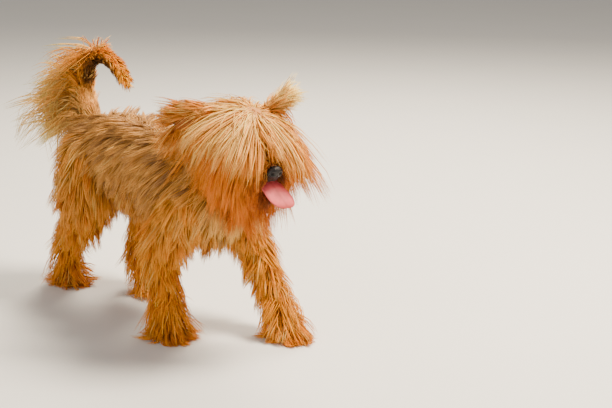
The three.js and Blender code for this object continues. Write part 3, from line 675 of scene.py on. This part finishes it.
class TERRIER_OT_skin(bpy.types.Operator):
    """Makes the skin from its masses: trunk, head, legs, paws, tail and ear leaves."""

    bl_idname = "terrier.skin"
    bl_label = "Skin"

    def execute(self, context):
        sizes, colours = settings()
        deselect()
        parts = []
        for name, run in RUNS.items():
            parts += [ball(row[:3], row[3]) for row in run_balls(run, BALL_COUNTS[name])]
        for side in (-1, 1):
            aside = FACE_SIDE * side
            for run, back, front in LIPS:
                for row, spread in zip(run_balls(run, LIP_BALLS), np.linspace(back, front, LIP_BALLS)):
                    parts.append(ball(row[:3] + aside * spread, row[3], 12, 8))
            axes = (FACE, FACE_SIDE, FACE_UP)
            parts.append(oriented(unit_ball(16, 10), BROW + aside * BROW_ASIDE, axes, BROW_SIZE))
        for paw in PAWS:
            for spot, ahead, across in toes(paw):
                parts.append(oriented(unit_ball(14, 10), spot, (ahead, across, UP), TOE_SIZE))
        parts += [self.leaf(name) for name in EARS]
        skin = joined(parts)
        only(skin)
        in_place()
        modified(skin, "one surface", "REMESH", mode="VOXEL", voxel_size=sizes.skin_detail)
        modified(skin, "relaxed", "SMOOTH", factor=0.5, iterations=5)
        edited(bpy.ops.uv.smart_project, angle_limit=math.radians(66), island_margin=0.004)
        finished(skin, "skin", skin_finish())
        co = coords(skin)
        co[:, 2] = np.maximum(co[:, 2], SOLE_HEIGHT / 1000)
        set_coords(skin, co)
        here = of_animal(co)
        colour_attribute(skin, "hair_colour", markings(here, Body().region(here), colours))
        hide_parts(*FLESH_NODES)
        return {"FINISHED"}

    def leaf(self, name):
        """One ear's cupped leaf, from a grid."""
        bpy.ops.mesh.primitive_grid_add(x_subdivisions=12, y_subdivisions=18, size=2.0)
        leaf = bpy.context.object
        shaped = [ear_point(name, (y + 1) * 0.54 - 0.08, x) for x, y, _ in coords(leaf)]
        set_coords(leaf, placed(shaped))
        only(leaf)
        modified(leaf, "leaf thickness", "SOLIDIFY", thickness=0.0044, offset=0.0)
        return leaf


class Lie(NamedTuple):
    """How one piece's hair lies and looks: each is one value for all its roots or one for each."""

    heading: Any  # the way it runs over the skin
    length: Any  # in millimetres
    lift: Any  # how far it stands up at its root
    droop: Any  # how much it turns down at each station
    depth: Any  # millimetres from the flesh to the outer layer
    clump: Any  # share by which tips are drawn together into a lock
    bunch: int  # tufts to a lock
    sway: Any  # millimetres that a lock's tip strays
    width: float  # share of the set width
    pale: Any  # share of cream tufts
    deep: Any  # share of tufts in the shade colour
    shade: str  # name of that colour
    tip: tuple  # name of the tips' colour, and its share
    fade: tuple = (0.62, 1.25)  # brightness at the root and at the tip


class Coat:
    """Lays tufts over the skin: each leaves its root, follows the lie and hangs with its weight."""

    taper = np.array([0.75, 1.0, 0.85, 0.55, 0.0])
    stations = len(taper)
    corners = [(-1.0, -0.2), (1.0, -0.2), (0.0, 0.42)]
    patch_size = 0.003
    # Lowest heights of a tuft over the floor, as it grows and after its tip has moved.
    growing_height = 1.2
    lowest_height = 1.0
    # How far hair may reach past the solids' box, and over what distance it is eased back.
    margin = np.array([15.0, 11.0, 13.0])
    ease = 5.0
    # Places on the nose and tongue that hair keeps clear of, with radii, seen along the outlook.
    outlook = unit(np.array([0.85, -0.48, 0.0]))
    bare = (
        (NOSE_TIP, 9.6),
        (np.array([216.0, -25.0, 209.0]), 12.0),
        (np.array([228.0, -21.0, 198.0]), 13.0),
    )

    def __init__(self, skin, body, sizes, colours):
        self.body, self.sizes, self.colours = body, sizes, colours
        mesh = skin.data
        mesh.calc_loop_triangles()
        self.tri = read(mesh.loop_triangles, "vertices", 3, np.int64)
        self.loops = read(mesh.loop_triangles, "loops", 3, np.int64)
        self.uv = read(mesh.uv_layers[0].uv, "vector", 2)
        self.co = of_animal(coords(skin))
        corner = self.co[self.tri]
        cross = np.cross(corner[:, 1] - corner[:, 0], corner[:, 2] - corner[:, 0])
        self.area = np.linalg.norm(cross, axis=1) / 2
        self.normal = unit(cross)
        self.middle = corner.mean(1)
        self.region = body.region(self.middle)

    def roots(self, weight, count, draw):
        """Places, ways out, map places and regions of roots, drawn by area and weight."""
        share = self.area * weight
        pick = draw.choice(len(share), size=count, p=share / share.sum())
        a, b = draw.random((2, count))
        flip = a + b > 1
        a[flip], b[flip] = 1 - a[flip], 1 - b[flip]
        bary = np.stack([1 - a - b, a, b], 1)[:, :, None]
        place = (self.co[self.tri[pick]] * bary).sum(1)
        uv = (self.uv[self.loops[pick]] * bary).sum(1)
        return place, self.normal[pick], uv, self.region[pick]

    def lay(self, name, weight, count, style, seed):
        """Makes one piece of coat, whose style gives the lie of its hair."""
        draw = np.random.default_rng(seed)
        count = int(count * self.sizes.fullness)
        place, out, uv, region = self.roots(weight, count, draw)
        lie = style(place, out, region, draw)
        length = lie.length * (0.8 + 0.4 * draw.random(count)) * (0.95 + 0.2 * ripple(place, 12, seed))
        layer = draw.random(count) ** 1.3
        points = self.grown(place, out, length, layer, lie)
        points, owner = self.clumped(points, lie, draw)
        points = self.held(self.trimmed(points))
        width = lie.width * self.sizes.tuft_width * 1000 * (0.7 + 0.6 * draw.random(count))
        base = markings(place, region, self.colours)
        lock_tone, own_tone = draw.random((2, count))
        streak = (0.65 * lock_tone[owner] + 0.35 * own_tone)[:, None]
        for share, colour in ((lie.pale - streak, "cream"), (lie.deep - 1 + streak, lie.shade)):
            base = mix(base, self.colour(colour), 0.75 * soft(share, -0.06, 0.1))
        base = base * np.clip(draw.normal(1.0, 0.13, (count, 1)), 0.65, 1.4)
        tip = mix(base, self.colour(lie.tip[0]), lie.tip[1])
        turn = draw.uniform(-0.5, 0.5, (count, 1, 1))
        return self.mesh(name, self.shafts(points, out, width, turn), uv, base, tip, lie.fade)

    def colour(self, name):
        return np.array(getattr(self.colours, name))

    def grown(self, place, out, length, layer, lie):
        """Each tuft's stations: it turns down as it goes and keeps its layer's distance."""
        flat = unit(lie.heading - (lie.heading * out).sum(1, keepdims=True) * out)
        way = unit(flat + out * (np.asarray(lie.lift) * (0.5 + layer))[:, None])
        step = (length / (self.stations - 1))[:, None]
        points = [place - out * 1.2]
        here = place
        for k in range(1, self.stations):
            way = unit(way - UP * np.asarray(lie.droop)[..., None])
            there = here + way * step
            gap, away, _ = self.body.nearest(there)
            wanted = 0.6 + layer * lie.depth * min(1.0, 1.6 * k / (self.stations - 1))
            there = there + away * np.clip(wanted - gap, 0, 30)[:, None]
            there[:, 2] = np.maximum(there[:, 2], self.growing_height)
            way = unit(there - here)
            points.append(there)
            here = there
        return np.stack(points, 1)

    def clumped(self, points, lie, draw):
        """Draws the tips of neighbouring tufts together into locks that sway a little apart."""
        count = len(points)
        guides = draw.choice(count, max(1, count // lie.bunch), replace=False)
        roots = points[:, 0]
        owner = np.empty(count, int)
        for k in range(0, count, 2000):
            gap = np.linalg.norm(roots[k : k + 2000, None] - roots[guides][None], axis=2)
            owner[k : k + 2000] = guides[gap.argmin(1)]
        t = np.linspace(0, 1, self.stations)[None, :, None]
        near = np.linalg.norm(roots - roots[owner], axis=1)
        pull = np.broadcast_to(lie.clump, count) * np.clip(1.6 - near / 14.0, 0, 1)
        share = pull[:, None, None] * (0.7 + 0.3 * draw.random((count, 1, 1)))
        drift = (draw.normal(size=(count, 3)) * lie.sway)[owner][:, None]
        return points + (points[owner] - points) * share * t**1.2 + drift * t**1.6, owner

    def trimmed(self, points):
        """Cuts tufts back where they would fall over the nose or the tongue."""
        last = self.stations - 1
        t = np.linspace(0, 1, self.stations)
        for place, radius in self.bare:
            off = points - place
            ahead = off @ self.outlook
            aside = np.linalg.norm(off - ahead[..., None] * self.outlook, axis=2)
            inside = (ahead > -5) & (aside < radius + 0.25 * np.maximum(ahead, 0))
            crossing = inside.any(1)
            share = np.clip((inside.argmax(1) - 0.6) / last, 0.15, 1)[crossing]
            at = share[:, None] * t[None] * last
            i = np.minimum(at.astype(int), last - 1)
            part = (at - i)[:, :, None]
            rows = points[crossing]
            k = np.arange(len(rows))[:, None]
            points[crossing] = rows[k, i] * (1 - part) + rows[k, i + 1] * part
        return points

    def held(self, points):
        """Eases back what would reach past the margin, and keeps the lowest off the floor."""
        low = of_animal(solid_low) - self.margin
        high = of_animal(solid_high) + self.margin
        points = high - self.ease * np.logaddexp(0, (high - points) / self.ease)
        level = points[:, :, :2] - low[:2]
        points[:, :, :2] = low[:2] + self.ease * np.logaddexp(0, level / self.ease)
        points[:, :, 2] = np.maximum(points[:, :, 2], self.lowest_height)
        return points

    def shafts(self, points, out, width, turn):
        """Each tuft's rings of three corners and its tip."""
        rings = self.stations - 1
        ahead = unit(np.gradient(points, axis=1))
        side = unit(np.cross(ahead, np.repeat(out[:, None], self.stations, 1)) + 1e-6)
        rise = np.cross(side, ahead)
        half = (width[:, None] * self.taper[None] * 0.5)[:, :rings, None]
        across = (side * np.cos(turn) + rise * np.sin(turn))[:, :rings] * half
        over = (rise * np.cos(turn) - side * np.sin(turn))[:, :rings] * half
        rows = [points[:, :rings] + across * a + over * b for a, b in self.corners]
        rows = np.stack(rows, 2).reshape(len(points), rings * 3, 3)
        return np.concatenate([rows, points[:, -1:]], 1)

    def mesh(self, name, shafts, uv, base, tip, fade):
        """Closed three-sided tapering tufts, each with its own small patch of the map."""
        rings = self.stations - 1
        count, per, _ = shafts.shape
        faces = [(0, 1, 2)]
        top = 3 * (rings - 1)
        for a in range(top):
            b = a + 1 if a % 3 < 2 else a - 2
            faces += [(a, a + 3, b), (b, a + 3, b + 3)]
        faces += [(top + k, per - 1, top + (k + 1) % 3) for k in range(3)]
        tris = (np.array(faces)[None] + (np.arange(count) * per)[:, None, None]).reshape(-1, 3)
        mesh = bpy.data.meshes.new(name)
        mesh.vertices.add(count * per)
        mesh.vertices.foreach_set("co", placed(shafts.reshape(-1, 3)).astype(np.float32).ravel())
        mesh.loops.add(len(tris) * 3)
        mesh.loops.foreach_set("vertex_index", tris.ravel().astype(np.int32))
        mesh.polygons.add(len(tris))
        mesh.polygons.foreach_set("loop_start", np.arange(0, len(tris) * 3, 3, dtype=np.int32))
        mesh.update(calc_edges=True)
        along = np.append(np.repeat(np.linspace(0, 1, self.stations)[:rings], 3), 1.0)
        around = np.append(np.tile([0.0, 1.0, 0.5], rings), 0.5)
        patch = uv[:, None] + np.stack([around - 0.5, along - 0.5], 1)[None] * self.patch_size
        layer = mesh.uv_layers.new(name="OFBake")
        layer.uv.foreach_set("vector", patch.reshape(-1, 2)[tris.ravel()].astype(np.float32).ravel())
        obj = bpy.data.objects.new(name, mesh)
        bpy.context.scene.collection.objects.link(obj)
        light = (fade[0] + (fade[1] - fade[0]) * along**0.8)[None, :, None]
        ripe = along[None, :, None] ** 1.5
        colour = (base[:, None] * (1 - ripe) + tip[:, None] * ripe) * light
        colour_attribute(obj, "hair_colour", np.clip(colour, 0, 1).reshape(-1, 3))
        return obj


def trunk_style(place, out, region, draw):
    """Hair parts along the spine and runs back and down, shorter on the neck."""
    sizes, _ = settings()
    top = np.maximum(0, out[:, 2])
    side = np.sign(place[:, 1] + draw.normal(0, 1.5, len(place)))
    under = soft(out[:, 2], -0.5, -0.9)
    heading = np.stack([-0.62 - 0.25 * top, side * 0.75 * top, np.full(len(place), -0.8)], 1)
    heading += np.stack([0.28 * ripple(place, 40, 5), 0.12 * ripple(place, 33, 6), 0 * top], 1)
    hang = np.array([[-0.2, 0.0, -1.0]])
    collar = within(region, "neck").astype(float)
    length = sizes.body_hair * 1000 * (0.9 + 0.15 * ripple(place, 60, 7) + 0.1 * under)
    return Lie(
        heading=heading * (1 - under[:, None]) + hang * under[:, None],
        length=length * (1 - 0.3 * collar), lift=0.18 + 0.4 * under, droop=0.08 + 0.35 * under,
        depth=(10.0 + 4 * under) * (1 - 0.5 * collar), clump=0.8, bunch=18, sway=2.4, width=1.05,
        pale=0.14, deep=0.27, shade="steel", tip=("sand", 0.35),
    )


def head_style(place, out, region, draw):
    """Hair falls from the crown's parting over the eyes and cheeks, and parts over the nose."""
    sizes, _ = settings()
    off = place - HEAD_MIDDLE
    aside = off @ FACE_SIDE
    front = soft(off @ FACE, 16, 30) * soft(np.abs(aside), 24, 10)
    top = soft(out[:, 2], 0.5, 0.95)
    heading = unit(place - CROWN_PARTING) - 0.5 * UP - 0.1 * out
    heading += FACE_SIDE[None] * (np.sign(aside) * 0.8 * front)[:, None]
    heading += 0.16 * np.stack([ripple(place, 24, 11), ripple(place, 24, 12), 0 * aside], 1)
    crossing = soft(np.linalg.norm(place - CROWN_PARTING, axis=1), 20, 6)
    heading += 0.4 * crossing[:, None] * draw.normal(size=(len(place), 3))
    beside = 0
    for name, reach in (("ear_right", 34), ("ear_left", 20)):
        leaf = np.array([ear_point(name, t, 0.0) for t in (0.0, 0.25, 0.5, 0.75, 1.0)])
        to_ear = np.linalg.norm(place[:, None] - leaf[None], axis=2).min(1)
        beside = np.maximum(beside, soft(to_ear, reach, 0.5 * reach))
    length = sizes.head_hair * 1000 * (0.95 + 0.15 * ripple(place, 30, 13)) * (1 - 0.52 * front)
    # Roots that face up get more cream tufts and fewer rust tufts and tips: partly the lighter crown of
    # the coat, partly a painted highlight on the top of the head.
    crown = top[:, None]
    return Lie(
        heading=heading, length=length * (1 - 0.6 * beside),
        lift=0.5 - 0.1 * front - 0.3 * top - 0.15 * beside, droop=0.2 + 0.05 * front,
        depth=(24.0 - 12 * front) * (1 - 0.45 * top) * (1 - 0.65 * beside),
        clump=0.74, bunch=13, sway=4.0, width=1.0, pale=0.14 + 0.34 * crown, deep=0.3 - 0.15 * crown,
        shade="rust", tip=("rust", 0.75 - 0.45 * crown), fade=(0.95, 1.2),
    )


def muzzle_style(place, out, region, draw):
    """Short on the bridge, long at the lips, falling to each side."""
    off = place - NOSE_TIP
    side = np.sign(off @ FACE_SIDE)
    bridge = soft(out @ FACE_UP, 0.2, 0.9)
    heading = np.outer(side, FACE_SIDE) * 0.6 - 0.95 * UP + FACE * (0.1 - 0.4 * bridge[:, None])
    return Lie(
        heading=heading, length=(15 + 27 * soft(off @ FACE, -6, -34)) * (1 - 0.55 * bridge), lift=0.42,
        droop=0.24, depth=9.0, clump=0.6, bunch=9, sway=3.0, width=0.75, pale=0.14, deep=0.3,
        shade="dark", tip=("rust", 0.5),
    )


def chin_style(place, out, region, draw):
    """A short beard that hangs and shortens towards the lip."""
    heading = np.array([[-0.15, 0, -1.0]]) + 0.25 * draw.normal(size=(len(place), 3))
    return Lie(
        heading=heading, length=28 - 8 * soft(place[:, 0], 165, 205), lift=0.45, droop=0.4, depth=6.0,
        clump=0.6, bunch=10, sway=2.5, width=0.75, pale=0.1, deep=0.3, shade="dark", tip=("rust", 0.4),
    )


def leg_style(place, out, region, draw):
    """Feathering that flares over the paws like loose trousers."""
    sizes, _ = settings()
    low = soft(place[:, 2], 95, 35)
    paw = soft(place[:, 2], 26, 10)
    thigh = soft(place[:, 2], 110, 150)
    back = np.maximum(0, -out[:, 0])
    level = out * np.array([1.0, 1.0, 0.0])
    heading = np.array([[-0.2, 0, -1.0]]) + level * (0.3 + 0.6 * low - 0.35 * paw)[:, None]
    heading += 0.14 * draw.normal(size=(len(place), 3)) + np.array([[0.45, 0, 0.35]]) * paw[:, None]
    length = sizes.leg_hair * 1000 * (0.78 + 0.35 * back + 0.15 * thigh + 0.3 * low)
    return Lie(
        heading=heading, length=length * (1 - 0.5 * paw), lift=0.5 + 0.25 * back + 0.4 * low - 0.2 * paw,
        droop=0.24 - 0.06 * paw, depth=9.0 + 17 * low * (1 - 0.4 * paw), clump=0.74, bunch=13,
        sway=4.5, width=0.95, pale=0.24, deep=0.26, shade="rust", tip=("gold", 0.4),
    )


def tail_style(place, out, region, draw):
    """A plume that arches behind from the outer side, and short hair laid along the curl."""
    sizes, _ = settings()
    body = Body()
    ahead = body.ahead[body.nearest(place)[2]]
    curl = soft(place[:, 0], -166, -130) * soft(place[:, 2], 280, 305)
    away = unit(place - TAIL_CURL)
    outer = soft((away * out).sum(1), -0.1, 0.6) * soft(place[:, 0], -140, -165)
    plume = np.array([[-1.0, -0.3, 0.15]]) + away * 0.35
    plume[:, 2] -= 0.5 * soft(place[:, 2], 285, 312)
    aside, above = draw.normal(size=(2, len(place)))
    plume += np.stack([0 * curl, 0.3 * aside, 0.2 * above], 1)
    share = outer * (1 - curl)
    short = ahead + out * 0.1 + 0.12 * draw.normal(size=(len(place), 3))
    long = share[:, None]
    return Lie(
        heading=plume * long + short * (1 - long), length=17 + (sizes.tail_hair * 1000 - 17) * share,
        lift=0.14 + 0.5 * share, droop=0.04 + 0.24 * share, depth=3.0 + 3 * share,
        clump=0.45 + 0.45 * share, bunch=22, sway=1.0 + 12 * long, width=1.0,
        pale=0.12 + 0.48 * long, deep=0.16 - 0.1 * long, shade="dark", tip=("cream", 0.8 * long),
        fade=(0.72, 1.4),
    )


def ear_style(place, out, region, draw):
    """Short over the leaf, with a long fringe at its edges and its tip."""
    heading = np.zeros_like(place)
    length = np.full(len(place), 9.0)
    for name, ear in EARS.items():
        here = within(region, name)
        root, bend, end = (np.array(p, float) for p in ear["line"])
        along = unit(end - root)
        side = np.array(ear["across"], float)
        side = unit(side - side.dot(along) * along)
        off = (place - root) @ side - ((bend - root) @ side) * 0.5
        edge = np.clip(soft(np.abs(off), 4, 12) + soft((place - root) @ along, 18, 40), 0, 1)
        heading[here] = (along + side * (np.sign(off) * 0.7 * edge)[:, None])[here]
        length[here] = (12 + 25 * edge)[here]
    # The standing left ear gets more cream tufts and cream tips than the hanging one: painted light where
    # light falls on that ear.
    lit_left_ear = within(region, "ear_left").astype(float)[:, None]
    return Lie(
        heading=heading, length=length, lift=0.25, droop=0.1, depth=3.0, clump=0.66, bunch=10,
        sway=3.5, width=0.8, pale=0.28 + 0.5 * lit_left_ear, deep=0.25 - 0.2 * lit_left_ear, shade="rust",
        tip=("cream", 0.3 + 0.5 * lit_left_ear),
    )


class TERRIER_OT_coat(bpy.types.Operator):
    """Lays the coat in pieces: head, muzzle, chin, ears, neck, trunk, tail and legs."""

    bl_idname = "terrier.coat"
    bl_label = "Coat"

    def execute(self, context):
        sizes, colours = settings()
        body = Body()
        coat = Coat(bpy.data.objects["skin"], body, sizes, colours)
        middle = coat.middle
        on_nose = np.linalg.norm(middle - NOSE_MIDDLE, axis=1) < NOSE_CLEARING
        hidden = body.nearest(middle + coat.normal * 3)[0] < 1.5
        open_skin = ~(on_nose | hidden)
        for side in (-1, 1):
            open_skin &= np.linalg.norm(middle - eye_place(side, body), axis=1) > EYE_CLEARING
        off_lips = (np.abs(middle[:, 2] - LIP_LINE) >= LIP_CLEARING) | (middle[:, 0] <= LIP_BACK)
        right = middle[:, 1] < HEAD_SPLIT
        behind = middle[:, 0] < TRUNK_SPLIT
        plan = [
            ("coat_head_right", ["skull"], right, 7800, head_style, "head_coat"),
            ("coat_head_left", ["skull"], ~right, 7800, head_style, "head_coat"),
            ("coat_muzzle", ["muzzle"], off_lips, 4000, muzzle_style, "head_coat"),
            ("coat_chin", ["chin"], off_lips, 1900, chin_style, "jaw_coat"),
            ("coat_ears", ["ear_right", "ear_left"], True, 3800, ear_style, "ear"),
            ("coat_neck", ["neck"], True, 5400, trunk_style, "neck_coat"),
            ("coat_back", ["trunk"], behind, 7700, trunk_style, "body_coat"),
            ("coat_chest", ["trunk"], ~behind, 7700, trunk_style, "body_coat"),
            ("coat_tail", ["tail"], True, 5200, tail_style, "tail_coat"),
            ("coat_forelegs", ["fore_right", "fore_left"], True, 8200, leg_style, "leg_coat"),
            ("coat_hindlegs", ["hind_right", "hind_left"], True, 8000, leg_style, "leg_coat"),
        ]
        hair = hair_finish()
        for seed, (name, regions, part, count, style, slot) in enumerate(plan, 101):
            where = within(coat.region, *regions) & part & open_skin
            finished(coat.lay(name, where + 1e-12, count, style, seed), name, hair)
        return {"FINISHED"}


class TERRIER_OT_eyes(bpy.types.Operator):
    """Makes both eyeballs, with a raised cornea, and their lids."""

    bl_idname = "terrier.eyes"
    bl_label = "Eyes"

    def execute(self, context):
        sizes, _ = settings()
        radius = sizes.eye_radius * 1000
        iris = eye_finish()
        lid_skin = grained_finish(
            "eyelid skin", 700.0, (0.012, 0.008, 0.007), (0.05, 0.03, 0.02), 0.5, 0.0004, Roughness=0.45
        )
        for side, name in ((-1, "eye_right"), (1, "eye_left")):
            low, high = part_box(name)
            place = of_animal((low + high) / 2)
            level = unit(np.cross(UP, gaze(side)))
            axes = (level, np.cross(gaze(side), level), gaze(side))
            eye = unit_ball(48, 32)
            co = coords(eye)
            away = np.arccos(np.clip(co[:, 2], -1, 1))
            cornea = 1.0 + 0.08 * np.clip(1 - (away / 0.7) ** 2, 0, 1)
            set_coords(eye, co * cornea[:, None])
            oriented(eye, place, axes, (radius * 0.97,) * 3)
            finished(eye, "eyeball_" + name[4:], iris)
            number_attribute(eye, "from_pupil", away)
            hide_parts(name)
            lid = unit_ball(40, 28)
            co = coords(lid)
            almond = (co[:, 0] / 0.86) ** 2 + (co[:, 1] / 0.58) ** 2 < 1
            gone = (almond & (co[:, 2] > 0)) | (co[:, 2] < -0.1)
            bpy.ops.object.mode_set(mode="EDIT")
            bpy.ops.mesh.select_all(action="DESELECT")
            bpy.ops.object.mode_set(mode="OBJECT")
            lid.data.vertices.foreach_set("select", gone)
            bpy.ops.object.mode_set(mode="EDIT")
            bpy.ops.mesh.delete(type="VERT")
            bpy.ops.object.mode_set(mode="OBJECT")
            oriented(lid, place, axes, (radius + 0.9,) * 3)
            modified(lid, "lid thickness", "SOLIDIFY", thickness=0.0009)
            finished(lid, "eyelids_" + name[4:], lid_skin)
        return {"FINISHED"}


class TERRIER_OT_nose(bpy.types.Operator):
    """Makes the nose pad with its nostrils and the groove below it."""

    bl_idname = "terrier.nose"
    bl_label = "Nose"

    def execute(self, context):
        _, colours = settings()
        nose = unit_ball(72, 48)
        co = coords(nose)
        x, y, z = co.T.copy()
        front = np.clip(z, 0, 1)
        hole = hump(np.abs(x), 0.5, 0.17) * hump(y, 0.08, 0.2) * front
        slit = hump(np.abs(x), 0.8, 0.2) * hump(y, -0.12, 0.1) * (z > -0.2)
        groove = hump(x, 0, 0.07) * soft(y, 0.25, -0.2) * front
        co[:, 2] -= 0.62 * hole + 0.25 * slit + 0.16 * groove
        co[:, 0] *= 1 - 0.12 * soft(y, -0.1, -0.9)
        set_coords(nose, co)
        oriented(nose, NOSE_MIDDLE, (FACE_SIDE, FACE_UP, FACE), NOSE_SIZE)
        finished(nose, "nose_leather", nose_finish(colours))
        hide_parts("nose")
        return {"FINISHED"}


class TERRIER_OT_tongue(bpy.types.Operator):
    """Makes the tongue, which hangs over the lower lip with a groove along it."""

    bl_idname = "terrier.tongue"
    bl_label = "Tongue"

    def execute(self, context):
        _, colours = settings()
        tongue = unit_ball(40, 60)
        co = coords(tongue)
        s = (1 - co[:, 2]) / 2
        at, slope = curve(TONGUE, s * (len(TONGUE) - 1))
        face = -np.cross(unit(slope[:, :3]), FACE_SIDE[None])
        across, over = co[:, :2].T / np.maximum(np.hypot(co[:, 0], co[:, 1]), 1e-6)
        ends = np.sqrt(np.clip(1 - np.abs(2 * s - 1) ** 7, 0.0, 1))
        half = at[:, 3] * ends
        thick = at[:, 4] * np.sqrt(ends) * ends
        groove = hump(across, 0, 0.16) * (over > 0) * 1.1
        place = at[:, :3] + FACE_SIDE * (across * half)[:, None]
        set_coords(tongue, placed(place + face * ((over - groove) * thick)[:, None]))
        finished(tongue, "tongue_flesh", tongue_finish(colours))
        # Redder towards the tip and the sides; the hump along the middle line is painted shade in the
        # groove.
        rim = soft(s, 0.84, 0.98) + 0.5 * soft(np.abs(across), 0.8, 1.0) + 0.4 * hump(across, 0, 0.12)
        number_attribute(tongue, "red_edge_and_groove_shade", np.clip(rim, 0, 1))
        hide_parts("tongue")
        return {"FINISHED"}


class TERRIER_OT_claws(bpy.types.Operator):
    """Makes a curved claw on each toe."""

    bl_idname = "terrier.claws"
    bl_label = "Claws"

    def execute(self, context):
        horn = grained_finish(
            "claw horn", 500.0, (0.015, 0.010, 0.008), (0.10, 0.065, 0.04), 0.3, 0.0003,
            Roughness=0.3, Coat_Weight=0.2,
        )
        for paw in PAWS:
            made = []
            for spot, ahead, across in toes(paw):
                deselect()
                bpy.ops.mesh.primitive_cylinder_add(vertices=14, radius=1.0, depth=2.0)
                claw = bpy.context.object
                edited(bpy.ops.mesh.subdivide, number_cuts=5)
                co = coords(claw)
                s = (co[:, 2] + 1) / 2
                girth = (1.6 * (1 - s) ** 0.7 + 0.12)[:, None]
                bend = np.outer(s * CLAW_LENGTH, ahead) - np.outer(0.5 * s * s * CLAW_LENGTH, UP)
                place = spot + ahead * CLAW_ROOT - UP * CLAW_DROP + bend
                place = place + across * (co[:, :1] * girth) + UP * (co[:, 1:2] * girth)
                place[:, 2] = np.maximum(place[:, 2], 0.2)
                set_coords(claw, placed(place))
                made.append(claw)
            finished(joined(made), "claws_" + paw, horn)
        return {"FINISHED"}


class TERRIER_OT_stage(bpy.types.Operator):
    """Makes the plain floor, the soft lights and the camera."""

    bl_idname = "terrier.stage"
    bl_label = "Stage"

    def execute(self, context):
        _, colours = settings()
        deselect()
        bpy.ops.mesh.primitive_plane_add(size=40.0, location=(0, 0, 0))
        floor = bpy.context.object
        floor.name = "studio_floor"
        paint = Finish("studio floor", Roughness=0.9)
        grain = paint.noise(6.0)
        dull, bright = (rgba(colours.floor, light) for light in (0.98, 1.02))
        paint.feed("Base Color", paint.between(grain, dull, bright))
        floor.data.materials.append(paint.data)
        camera = bpy.data.objects.new("camera", bpy.data.cameras.new("camera"))
        context.scene.collection.objects.link(camera)
        camera.data.sensor_width = 36.0
        camera.data.lens = CAMERA_LENS
        camera.data.clip_start = 0.05
        camera.location = Vector(placed(CAMERA_PLACE))
        camera.rotation_euler = Vector(CAMERA_LOOK).to_track_quat("-Z", "Y").to_euler()
        context.scene.camera = camera
        right = Vector((0.695, 0.719, 0.0))
        toward = Vector((0.719, -0.695, 0.0))
        middle = Vector((0.02, 0.0, 0.18))
        for name, (aside, near, above, size, power, tint) in LAMPS.items():
            data = bpy.data.lights.new(name, "AREA")
            data.size = size
            data.energy = power
            data.color = tint
            lamp = bpy.data.objects.new(name, data)
            lamp.location = middle + right * aside + toward * near + Vector((0, 0, above))
            lamp.rotation_euler = (middle - lamp.location).to_track_quat("-Z", "Y").to_euler()
            context.scene.collection.objects.link(lamp)
        world = bpy.data.worlds.new("studio air")
        context.scene.world = world
        world.use_nodes = True
        air = world.node_tree.nodes["Background"]
        air.inputs["Color"].default_value = (1.0, 0.95, 0.88, 1.0)
        air.inputs["Strength"].default_value = 0.45
        return {"FINISHED"}


class TERRIER_PT_panel(bpy.types.Panel):
    """Lists the model's pieces in the sidebar."""

    bl_label = "Terrier"
    bl_idname = "TERRIER_PT_panel"
    bl_space_type = "VIEW_3D"
    bl_region_type = "UI"
    bl_category = "Terrier"

    def draw(self, context):
        for group in (context.scene.terrier_sizes, context.scene.terrier_colours):
            column = self.layout.column(align=True)
            for key in group.bl_rna.properties.keys():
                if key not in ("rna_type", "name"):
                    column.prop(group, key)
        for operator in OPERATORS:
            self.layout.operator(operator.bl_idname)


OPERATORS = (
    TERRIER_OT_skin,
    TERRIER_OT_coat,
    TERRIER_OT_eyes,
    TERRIER_OT_nose,
    TERRIER_OT_tongue,
    TERRIER_OT_claws,
    TERRIER_OT_stage,
)
CLASSES = (Sizes, Colours) + OPERATORS + (TERRIER_PT_panel,)


def register():
    for cls in CLASSES:
        bpy.utils.register_class(cls)
    bpy.types.Scene.terrier_sizes = bpy.props.PointerProperty(type=Sizes)
    bpy.types.Scene.terrier_colours = bpy.props.PointerProperty(type=Colours)


def unregister():
    del bpy.types.Scene.terrier_colours
    del bpy.types.Scene.terrier_sizes
    for cls in reversed(CLASSES):
        bpy.utils.unregister_class(cls)


def main():
    register()
    bpy.ops.terrier.skin()
    bpy.ops.terrier.coat()
    bpy.ops.terrier.eyes()
    bpy.ops.terrier.nose()
    bpy.ops.terrier.tongue()
    bpy.ops.terrier.claws()
    bpy.ops.terrier.stage()


if __name__ == "__main__":
    main()
